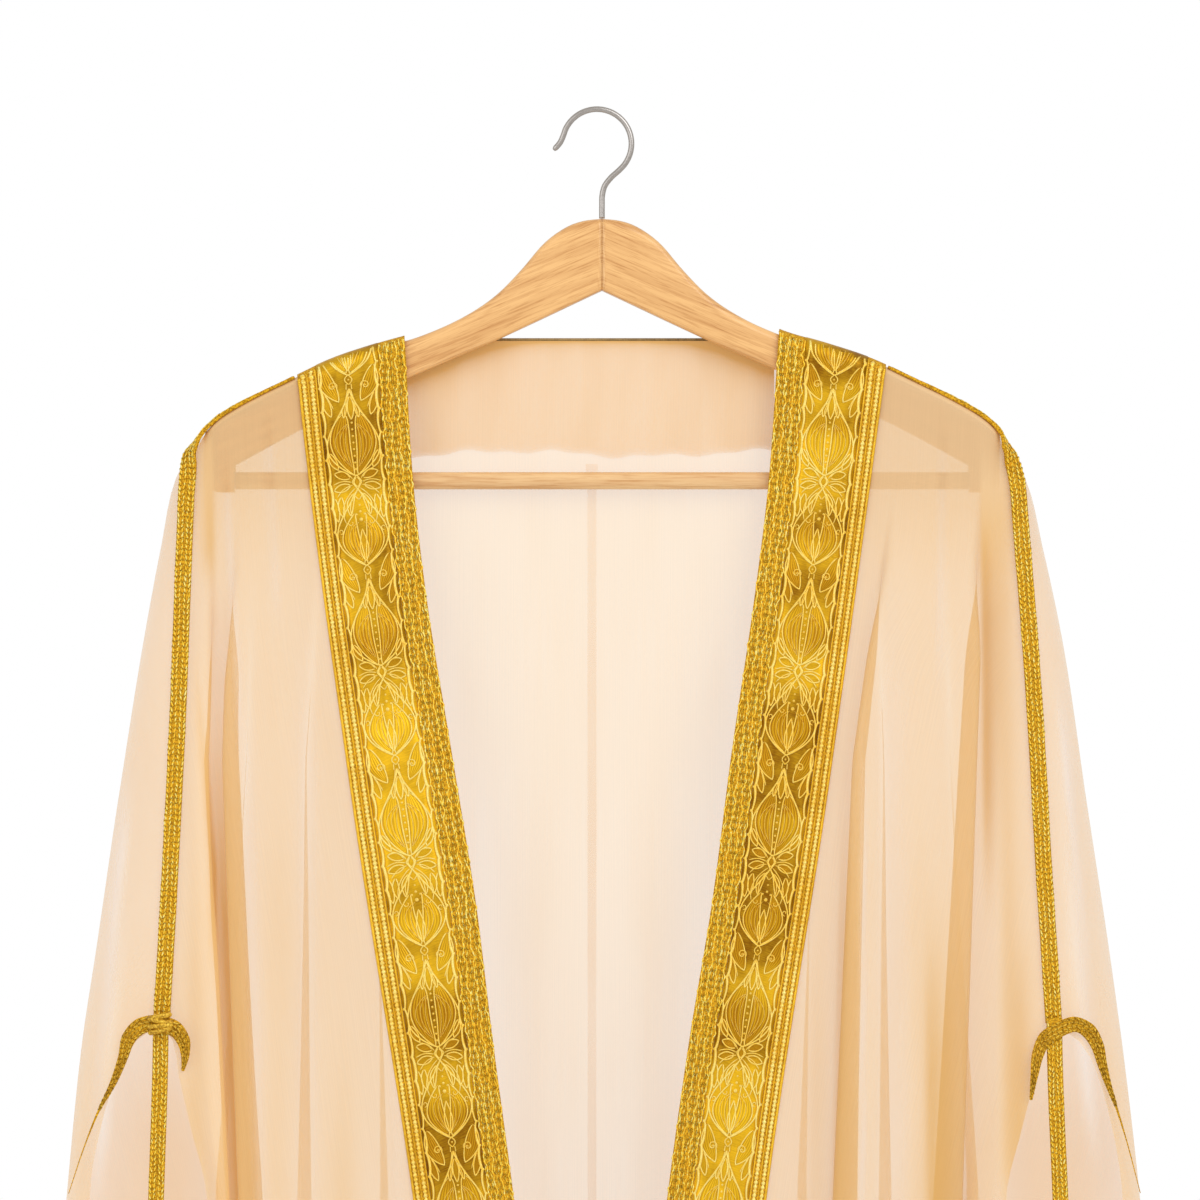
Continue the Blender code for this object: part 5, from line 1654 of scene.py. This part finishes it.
@dataclass
class ArmBraid:
    """The braid over an arm seam, the arch round the hand slit, the free tail and the knot."""

    side: Side
    strips: tuple[tuple[float, tuple[float, float]], ...] = ((4.9, (4.9, 2.8)), (0.0, (0.9, -0.9)),
                                                            (-4.9, (-4.9, -2.8)))
    seam_rows: tuple[float, ...] = (-183, -187, -191, -196, -202, -210, -222, -240, -295, -325, -360, -395,
                                    -430, -465, -504)
    lift: float = 0.55 * MM
    knot_height: float = -507 * MM
    tail_top: float = -501 * MM
    tail_end: float = -652 * MM
    tail_width: float = 9.6 * MM
    tail_thickness: float = 1.6 * MM

    def swell(self, down: Array) -> Array:
        """The braid's thickness by millimetres down it: a third of the full one where it leaves the band."""
        return 0.3 + 0.7 * smooth((down - 12.0) / 36.0)

    def seam_line(self, offset: float) -> tuple[Array, Array]:
        """Points beside the arm seam and the way the braid faces there, as on the solid."""
        points, facings = [], []
        start = float(curve(BAND_EDGE, -0.142, self.side.column)) + 1.2 * MM
        for along in np.linspace(start, HANG.tip - 3.0 * MM, 8):
            slope = float(ridge(along + MM) - ridge(along - MM)) / (2 * MM)
            lean = np.clip(abs(offset) / (9.0 * MM), 0.0, 0.9)
            facing = np.array([-slope, 0.0, 1.0]) * np.sqrt(1 - lean**2)
            facing = facing + np.array([0, -np.sign(offset) * lean, 0])
            drop = 0.006 * (1 - np.sqrt(1 - lean**2))
            points.append([along, -offset, float(ridge(along)) - drop])
            facings.append(facing)
        for height in np.array(self.seam_rows) * MM:
            seam = float(curve(ARM_SEAM, height, self.side.column))
            turn = float(smooth((HANG.tip_height - height) / 0.030))
            sideways = np.array([-turn, -(1 - turn), 0.25 * (1 - turn)])
            facing = np.array([0.8 * (1 - turn), -turn, 0.6 * (1 - turn)])
            lean = max(-offset, 0.0) / 0.012 * (1 - 0.75 * turn)
            facing = facing / np.linalg.norm(facing)
            facing = facing + np.array([lean * turn * 0.6, lean * (1 - turn) * 1.2, 0.0])
            spot = np.array([seam, -float(seam_depth(height)), height])
            points.append(spot + offset * sideways / np.linalg.norm(sideways))
            facings.append(facing)
        mirror = np.array([self.side.value, 1.0, 1.0])
        return np.array(points) * mirror, unit(np.array(facings)) * mirror

    def seam_way(self) -> Ribbon:
        """The way over the shoulder and down the arm seam, laid on the CAD cloth."""
        trees = node_tree([f"front_{self.side.word}", f"back_{self.side.word}"])
        lines = []
        for offset, beside in self.strips:
            points, facings = self.seam_line(offset * MM)
            rise = np.max([clear_of(*self.seam_line(b * MM), trees, self.lift) for b in beside], axis=0)
            rise[1:-1] = np.maximum(rise[1:-1], (rise[:-2] + rise[2:]) / 2)
            rise += 0.6 * MM * np.exp(-((points[:, 2] + 0.187) / 0.013) ** 2)
            lines.append([points, facings, rise])
        hanging = lines[0][0][:, 2] < -0.4
        tallest = np.max([line[2] for line in lines], axis=0)
        laid_lines = [p + f * np.where(hanging, tallest, r)[:, None] for p, f, r in lines]
        facing = unit(lines[1][1])
        return Ribbon(laid_lines[1], (laid_lines[0] - laid_lines[2]) / 2, facing)

    def tail_way(self) -> Ribbon:
        """The free tail: it starts at the seam's end and sways aside by a smooth step."""
        seam = float(curve(ARM_SEAM, self.knot_height, self.side.column))
        sway = {Side.LEFT: -3.5, Side.RIGHT: 4.5}[self.side] * MM
        z = np.linspace(self.tail_top, self.tail_end, 30)
        x = self.side.value * seam + sway * smooth((self.tail_top - z) / 0.15)
        low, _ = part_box(f"braid_tail_{self.side.word}")
        y = np.full(z.shape, low[1] + self.tail_thickness)
        aside = np.stack([np.full(z.shape, -self.side.value * 4.6 * MM), 0 * z, 0 * z], -1)
        facing = np.stack([0 * z, -np.ones_like(z), 0 * z], -1)
        return Ribbon(np.stack([x, y, z], -1), aside, facing)

    def arch_way(self) -> tuple[Ribbon, Array]:
        """The arch round the slit's top, in front of the seam braid and the tail."""
        rows = {
            Side.LEFT: [(-12.3, -530, 1.6), (-13.6, -522, 4.5), (-12.6, -513.5, 7.5), (-8.0, -507.0, 9.0),
                        (-1.0, -504.5, 9.2), (4.5, -504.0, 9.4), (9.8, -505.0, 9.2), (17.4, -512.0, 8.0),
                        (20.8, -523.0, 5.4), (26.0, -536.5, 3.8), (33.9, -551.7, 1.3), (41.0, -569.0, 0.7),
                        (51.0, -598.0, 0.4)],
            Side.RIGHT: [(-13.2, -545.8, 1.6), (-11.4, -532.6, 4.2), (-9.0, -520.0, 6.8), (-5.5, -512.5, 8.0),
                         (2.0, -507.6, 8.4), (11.0, -504.4, 8.4), (18.6, -508.0, 8.6), (23.6, -516.1, 7.2),
                         (26.4, -526.3, 5.4), (29.4, -536.5, 3.8), (34.4, -550.9, 1.3), (39.5, -567.0, 0.7),
                         (47.9, -598.0, 0.4)],
        }[self.side]
        seam = float(curve(ARM_SEAM, self.knot_height, self.side.column))
        way = self.side.value
        points = np.array([[way * (seam + out * MM), 0.0, height * MM] for out, height, _ in rows])
        widths = np.array([width for _, _, width in rows])
        word = self.side.word
        trees = node_tree([f"front_{word}", f"back_{word}", f"arm_braid_{word}", f"braid_tail_{word}"])
        steps = np.gradient(points, axis=0)
        beside = unit(np.cross(steps, [0.0, -1.0, 0.0]))
        facing = np.broadcast_to(np.array([0.0, -1.0, 0.0]), points.shape)
        reach = np.maximum(widths, 5.0)[:, None] * MM
        spots = (-0.6, -0.3, 0.03, 0.3, 0.6)
        rises = [clear_of(points + beside * reach * k, facing, trees, 0.75 * MM) for k in spots]
        front = points[:, 1] - np.max(rises, axis=0)
        padded = np.concatenate([front[:1], front, front[-1:]])
        points[:, 1] = np.min([padded[:-2], front, padded[2:]], axis=0)
        return Ribbon(points, beside * self.strips[0][0] * MM, facing.copy()), widths

    def base(self, name: str, way: Ribbon, half: Callable[[Array], Array], thick: float, count: int,
             under: float = 0.0, swell: Callable[[Array], Array] = np.ones_like) -> bpy.types.Object:
        """A flat closed strip along a way, from `under` below it to `thick` above, times swell."""
        down = np.linspace(0.0, way.length, count)
        wide = half(down)
        edge = 0.7 * thick
        corners = [(-1.0, -under), (-1.0, edge), (-0.8, thick), (0.8, thick), (1.0, edge), (1.0, -under)]
        level = np.ones_like(down)
        heights = [h * (swell(down) if h > 0 else level) for _, h in corners]
        rings = np.stack([way.lay(wide * a, down, up) for (a, _), up in zip(corners, heights)], 1)
        rings = with_caps(rings)
        far = np.arange(len(rings))[:, None] * MM
        uv = np.stack(np.broadcast_arrays(np.linspace(0, 1, 6)[None], far), -1)
        piece = make_mesh(name, rings.reshape(-1, 3), grid_faces(len(rings), 6, wrap=True), uv.reshape(-1, 2))
        return away_from(piece, np.repeat(rings[:-1].mean(1), 6, axis=0))

    def stitches(self, name: str, way: Ribbon, rows: Sequence[float], top: float, seed: int,
                 narrowing: Callable[[Array], Array] | None = None,
                 swell: Callable[[Array], Array] = np.ones_like, until: int = -1) -> bpy.types.Object:
        """Plaited stitches on a way, up to one of its points, their height times swell."""
        stuff = stitch_rows(rows, float(way.far[until]), 3.0, 2.5, 0.9, 0.16, seed, True, narrowing)

        def on_way(across: Array, down: Array, up: Array) -> Array:
            """The stitches on the way, above its base."""
            return way.lay(across, down, (up + top) * swell(down))

        return outward_by(laid(name, stuff, on_way), stuff, way)

    def build(self) -> list[bpy.types.Object]:
        """Build the seam braid, the arch, the tail and, on the left, the knot."""
        word, seed = self.side.word, 40 + self.side.value
        way = self.seam_way()

        def full(down: Array) -> Array:
            """Half the seam braid's width."""
            return np.full(down.shape, 4.5)

        def half(down: Array) -> Array:
            """Half the tail's width."""
            return np.full(down.shape, 4.6)

        ground = self.base(f"arm_braid_ground_{word}", way, full, 0.5, 200, 1.5, self.swell)
        rows = (-3.75, -1.25, 1.25, 3.75)
        stitches = self.stitches(f"arm_braid_stitches_{word}", way, rows, 0.3, seed, None, self.swell)
        made = [dress(ground, BACKING, "gold_braid", [f"arm_braid_{word}"]),
                dress(stitches, CHAIN, "gold_braid")]
        tail = self.tail_way()
        tail_base = dress(self.base(f"tail_core_{word}", tail, half, 0.8, 60), BACKING, "gold_braid",
                          [f"braid_tail_{word}"])
        rows = (-3.6, -1.2, 1.2, 3.6)
        tail_stitches = dress(self.stitches(f"tail_stitches_{word}", tail, rows, 0.55, seed + 10),
                              CHAIN, "gold_braid")
        exit_point = tuple(float(v) for v in tail.middle[0])
        [tuple(map(float, p)) for p in tail.middle]
        arch, widths = self.arch_way()

        def arch_half(down: Array) -> Array:
            """Half the arch's width at a distance along it."""
            return np.interp(down, arch.far, widths) / 2

        def narrow(down: Array) -> Array:
            """The arch's width there, as a share of the widest."""
            return np.interp(down, arch.far, widths) / 9.0

        made.append(dress(self.base(f"arch_ground_{word}", arch, arch_half, 0.5, 110), BACKING, "gold_braid",
                          [f"slit_braid_{word}"]))
        made.append(dress(self.stitches(f"arch_stitches_{word}", arch, (-3.3, -1.1, 1.1, 3.3), 0.3, seed + 20,
                                        narrow, until=-3), ARCH_CHAIN, "gold_braid"))
        if self.side is Side.LEFT:
            made.append(self.knot())
        return made

    def knot(self) -> bpy.types.Object:
        """The wrapped knot: cords that pass over the braid in flat arcs, one above the other."""
        low, high = (np.array(v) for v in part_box("slit_knot_left"))
        centre = (low + high) / 2
        half = (high - low) / 2
        parts = []
        s = np.linspace(-1.0, 1.0, 25)
        for k, lean in zip(np.linspace(-0.72, 0.72, 4), (0.26, 0.10, -0.22, 0.16)):
            reach = half[0] * np.sqrt(1 - 0.45 * k**2)
            x = centre[0] + reach * s
            y = high[1] - (high[1] - low[1]) * 0.82 * np.sqrt(np.clip(1 - (s * 0.97) ** 2, 0, 1))
            z = centre[2] + half[2] * (k + lean * s)
            radius = np.full(s.shape, half[2] * 0.27)
            parts.append(tube(f"knot_wrap_{len(parts)}", np.stack([x, y, z], -1), radius, 10))
        piece = parts[0]
        with bpy.context.temp_override(active_object=piece, object=piece, selected_objects=parts,
                                       selected_editable_objects=parts):
            bpy.ops.object.join()
        piece.name = "slit_wrap_left"
        return dress(piece, ARCH_CHAIN, "gold_braid", ["slit_knot_left"])


def outward_by(piece: bpy.types.Object, stuff: Stuff, way: Ribbon) -> bpy.types.Object:
    """Turn a piece's faces over if the way mirrors what is laid on it."""
    side = way.aside[len(way.aside) // 2]
    down = way.middle[len(way.middle) // 2 + 1] - way.middle[len(way.middle) // 2]
    out = way.facing[len(way.facing) // 2]
    if float(np.dot(np.cross(side, down), out)) < 0:
        piece.data.flip_normals()
    return piece


@dataclass
class Hanger:
    """The suit hanger: two wooden arms that meet at a mitre, a round bar and a wire hook."""

    half: float = 6.5 * MM
    end: float = 220.7 * MM
    heel: float = 204.0 * MM
    heel_foot: float = -211.5 * MM
    round_top: float = 4.5 * MM
    round_foot: float = 2.5 * MM
    bar_radius: float = 4.8 * MM
    bar_height: float = -205.0 * MM
    wire_radius: float = 1.6 * MM
    hook_radius: float = 19.2 * MM
    hook_centre: tuple[float, float] = (-2.8 * MM, -17.6 * MM)

    def section(self, top: float, foot: float, half: float, round_top: float) -> Array:
        """A section of an arm: a rectangle with round corners, wider ones on top."""
        corners = []
        for y, z, radius, begin in ((half - round_top, top - round_top, round_top, 0.0),
                                    (-half + round_top, top - round_top, round_top, 90.0),
                                    (-half + self.round_foot, foot + self.round_foot, self.round_foot, 180.0),
                                    (half - self.round_foot, foot + self.round_foot, self.round_foot, 270.0)):
            angles = np.radians(begin + np.linspace(0, 90, 7))
            corners.append(np.stack([y + radius * np.cos(angles), z + radius * np.sin(angles)], -1))
        return np.concatenate(corners)

    def arm(self, side: Side) -> bpy.types.Object:
        """An arm: its section carried from the mitre to the end, deeper at the heel that takes the bar."""
        x = np.concatenate([[0.0], np.linspace(2 * MM, self.heel - 0.3 * MM, 70),
                            np.linspace(self.heel + 0.3 * MM, self.end, 14)])
        rings = []
        for place in x:
            top = float(board_top(place))
            foot = float(curve(BOARD_FOOT, place)) if place < self.heel else self.heel_foot
            end = float(smooth((place - 0.2125) / (self.end - 0.2125)))
            half = self.half - 2.2 * MM * end
            ring = self.section(top, foot + 2.5 * MM * end, half, self.round_top - 1.5 * MM * end)
            rings.append(np.column_stack([np.full(len(ring), side.value * place), ring]))
        rings = with_caps(np.array(rings))
        piece = make_mesh(f"wooden_arm_{side.word}", rings.reshape(-1, 3),
                          grid_faces(len(rings), rings.shape[1], wrap=True))
        away_from(piece, np.repeat(rings[:-1].mean(1), rings.shape[1], axis=0))
        return dress(piece, WOOD, "pale_wood", [f"hanger_arm_{side.word}"])

    def build(self) -> None:
        """Build the arms, the bar and the hook."""
        for side in Side:
            self.arm(side)
        reach = self.heel - 0.5 * MM
        path = np.stack([np.linspace(-reach, reach, 20), np.zeros(20), np.full(20, self.bar_height)], -1)
        bar = tube("trouser_bar", path, np.full(20, self.bar_radius), 32)
        dress(bar, BAR_WOOD, "pale_wood", ["hanger_bar"])
        dress(self.hook(), STEEL, "steel_wire", ["hanger_hook"])

    def hook(self) -> bpy.types.Object:
        """The wire: up from the wood, then a circle's arc, then a short tip turned out."""
        turns = np.radians(np.linspace(-48, 166, 20))
        cx, cz = self.hook_centre
        bend = [(cx + self.hook_radius * np.cos(a), cz + self.hook_radius * np.sin(a)) for a in turns]
        foot = float(board_top(0.0)) + 0.35 * MM
        stem = [(0.0, foot), (0.0, foot + 7 * MM), (0.2 * MM, -46.0 * MM), (1.5 * MM, -41.2 * MM),
                (4.7 * MM, -36.8 * MM)]
        end_x, end_z = bend[-1]
        tip = [(end_x - 1.6 * MM, end_z - 3.6 * MM), (end_x - 5.4 * MM, end_z - 8.2 * MM)]
        line = np.array([(x, 0.0, z) for x, z in stem + bend + tip])
        far = np.concatenate([[0.0], np.cumsum(np.linalg.norm(np.diff(line, axis=0), axis=1))])
        path = along_path(line, far, np.linspace(0.0, far[-1], 160))
        radius = np.full(160, self.wire_radius)
        radius[-3:] = self.wire_radius * np.array([0.95, 0.8, 0.5])
        return tube("wire_hook", path, radius, 20)


@dataclass
class Studio:
    """Camera, soft lights and the plain floor."""

    distance: float = 3.0
    view_width: float = 0.6672
    middle: tuple[float, float] = (-0.0011, -0.2713)
    floor_height: float = -1.70
    glow: float = 0.70
    warmth: Colour = (1.0, 0.955, 0.885)

    def camera(self) -> None:
        """A level camera straight in front."""
        data = bpy.data.cameras.new("camera")
        data.sensor_width = 36.0
        data.lens = 36.0 * self.distance / self.view_width
        eye = bpy.data.objects.new("camera", data)
        eye.location = (self.middle[0], -self.distance, self.middle[1])
        eye.rotation_euler = (np.pi / 2, 0.0, 0.0)
        bpy.context.scene.collection.objects.link(eye)
        bpy.context.scene.camera = eye

    def light(self, name: str, place: Sequence[float], size: float, power: float) -> None:
        """A soft square light that looks at the cloak's chest."""
        data = bpy.data.lights.new(name, "AREA")
        data.shape = "SQUARE"
        data.size = size
        data.energy = power
        lamp = bpy.data.objects.new(name, data)
        lamp.location = place
        lamp.rotation_euler = (Vector((0.0, 0.0, -0.35)) - Vector(place)).to_track_quat("-Z", "Y").to_euler()
        bpy.context.scene.collection.objects.link(lamp)

    def world(self) -> None:
        """A surround that is seen as pure white, while its light is dimmer and a little warm."""
        world = bpy.data.worlds.new("white_surround")
        bpy.context.scene.world = world
        world.use_nodes = True
        tree = world.node_tree
        seen = tree.nodes["Background"]
        seen.inputs["Color"].default_value = (1.0, 1.0, 1.0, 1.0)
        light = tree.nodes.new("ShaderNodeBackground")
        light.inputs["Color"].default_value = (*self.warmth, 1.0)
        light.inputs["Strength"].default_value = self.glow
        rays = tree.nodes.new("ShaderNodeLightPath")
        mix = tree.nodes.new("ShaderNodeMixShader")
        tree.links.new(rays.outputs["Is Camera Ray"], mix.inputs[0])
        tree.links.new(light.outputs[0], mix.inputs[1])
        tree.links.new(seen.outputs[0], mix.inputs[2])
        tree.links.new(mix.outputs[0], tree.nodes["World Output"].inputs["Surface"])

    def build(self) -> None:
        """Set up everything but the object."""
        self.camera()
        self.world()
        self.light("key", (1.5, -2.2, 1.3), 2.2, 31.0)
        self.light("fill", (-1.8, -2.0, 0.3), 2.4, 16.0)
        corners = np.array([[-3, -3, 0], [3, -3, 0], [3, 3, 0], [-3, 3, 0]], float)
        corners[:, 2] = self.floor_height
        floor = make_mesh("floor", corners, np.array([[0, 1, 2, 3]]))
        floor.data.materials.append(FLOOR.material())
        floor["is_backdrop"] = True
        scene = bpy.context.scene
        scene.view_settings.view_transform = "Standard"
        scene.cycles.transparent_max_bounces = 32


# Creases: heights and distances from the middle in metres
FRONT_CREASES = {
    Side.LEFT: (Crease(((-0.178, 0.210), (-0.381, 0.198)), 0.0024, 0.0024, -0.0008, -0.45),
                Crease(((-0.165, 0.2185), (-0.27, 0.2165)), 0.003, 0.005, 0.0010, 0.70, 0.03),
                Crease(((-0.29, 0.226), (-0.416, 0.215), (-0.50, 0.214)), 0.0015, 0.003, 0.0010, 0.45),
                Crease(((-0.26, 0.162), (-1.30, 0.158)), 0.004, 0.007, -0.0016, -0.32, 0.12),
                Crease(((-0.34, 0.180), (-1.30, 0.176)), 0.010, 0.006, 0.0010, 0.16, 0.15),
                Crease(((-0.30, 0.1985), (-0.60, 0.1885), (-1.30, 0.187)), 0.004, 0.003, -0.0010, -0.40,
                       0.12),
                Crease(((-0.46, 0.142), (-1.30, 0.140)), 0.007, 0.008, 0.0012, 0.28, 0.15),
                Crease(((-0.36, 0.120), (-0.90, 0.100)), 0.004, 0.005, -0.0008, -0.20, 0.12),
                Crease(((-0.34, 0.224), (-1.30, 0.222)), 0.006, 0.006, 0.0008, 0.30, 0.15),
                Crease(((-0.15, 0.186), (-0.30, 0.178)), 0.002, 0.004, -0.0006, -0.30, 0.05)),
    Side.RIGHT: (Crease(((-0.165, 0.2115), (-0.46, 0.2120)), 0.0022, 0.005, 0.0010, 0.75, 0.09),
                 Crease(((-0.18, 0.2195), (-0.62, 0.223)), 0.006, 0.008, 0.0, 0.50, 0.05),
                 Crease(((-0.24, 0.158), (-1.30, 0.153)), 0.007, 0.010, -0.0014, -0.30, 0.12),
                 Crease(((-0.34, 0.172), (-1.30, 0.170)), 0.004, 0.006, 0.0012, 0.18, 0.15),
                 Crease(((-0.40, 0.120), (-1.30, 0.108)), 0.005, 0.006, 0.0010, 0.22, 0.15),
                 Crease(((-0.42, 0.231), (-1.30, 0.232)), 0.006, 0.006, 0.0012, 0.50, 0.12),
                 Crease(((-0.30, 0.219), (-1.30, 0.214)), 0.004, 0.004, -0.0010, -0.30, 0.12),
                 Crease(((-0.36, 0.134), (-0.60, 0.128), (-1.30, 0.120)), 0.002, 0.008, 0.0, 0.40, 0.12),
                 Crease(((-0.32, 0.1435), (-1.30, 0.139)), 0.0015, 0.0015, -0.0008, -0.50, 0.10),
                 Crease(((-0.40, 0.1800), (-1.30, 0.1800)), 0.0040, 0.012, 0.0, 0.80, 0.14),
                 Crease(((-0.16, 0.190), (-0.33, 0.184)), 0.002, 0.003, -0.0007, -0.30, 0.05)),
}
BACK_CREASES = {
    Side.LEFT: (Crease(((-0.44, 0.240), (-0.95, 0.250)), 0.034, 0.048, 0.0, 0.50, 0.16),
                Crease(((-0.22, 0.030), (-1.40, 0.034)), 0.012, 0.016, 0.0010, 0.10, 0.15),
                Crease(((-0.26, 0.062), (-1.40, 0.060)), 0.010, 0.012, -0.0010, -0.08, 0.15),
                Crease(((-0.36, 0.262), (-0.62, 0.284)), 0.002, 0.004, -0.0008, -0.35, 0.06)),
    Side.RIGHT: (Crease(((-0.44, 0.246), (-0.95, 0.256)), 0.034, 0.048, 0.0, 0.50, 0.16),
                 Crease(((-0.22, 0.026), (-1.40, 0.030)), 0.010, 0.014, 0.0010, 0.10, 0.15),
                 Crease(((-0.26, 0.056), (-1.40, 0.054)), 0.010, 0.012, -0.0010, -0.08, 0.15),
                 Crease(((-0.30, 0.252), (-0.60, 0.276)), 0.002, 0.004, -0.0008, -0.35, 0.06)),
}


# Each front's and each back's greatest width and length along the cloth, with the panel's own area
CUTS = {
    Side.LEFT: ((0.30, 1.46), 0.354, (0.54, 1.48), 0.650),
    Side.RIGHT: ((0.35, 1.46), 0.414, (0.55, 1.48), 0.665),
}


def main() -> None:
    """Build the scene in order and report each piece."""
    logging.basicConfig(level=logging.INFO, format="%(message)s")
    Studio().build()
    cloths: dict[str, bpy.types.Object] = {}
    for side in Side:
        veil = 0.65 if side is Side.LEFT else 0.9
        cloths[f"front_{side.word}"] = FrontPanel(side, creases=FRONT_CREASES[side], veil=veil).build()
        cloths[f"back_{side.word}"] = BackPanel(side, creases=BACK_CREASES[side]).build()
    facing, _, strip = Neck().build()
    for side in Side:
        trims = Band(side).build()
        trims += ArmBraid(side).build()
        front, front_area, back, back_area = CUTS[side]
        report_sheet(cloths[f"front_{side.word}"], front, trims, front_area)
        report_sheet(cloths[f"back_{side.word}"], back, [], back_area)
    report_sheet(facing, (0.205, 0.066), [])
    report_sheet(strip, (0.010, 1.35), [], 0.0067)
    Hanger().build()
    boxes = {"cad": CAD_BOX, "visual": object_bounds()}
    sizes = {name: [list(map(float, v)) for v in box] for name, box in boxes.items()}


def report_sheet(cloth: bpy.types.Object, cut: tuple[float, float],
                 trims: Sequence[bpy.types.Object], area: float | None = None) -> None:
    """Log the area of a piece of cloth.

    Args:
        cloth: the piece.
        cut: the width and length it was cut to; not used.
        trims: what is sewn to it.
        area: the cut's flat area, where it isn't that whole rectangle; not used.
    """
    log.info("%s: %.4f square metres", cloth.name, sum(p.area for p in cloth.data.polygons))
    list(trims)


if __name__ == "__main__":
    main()
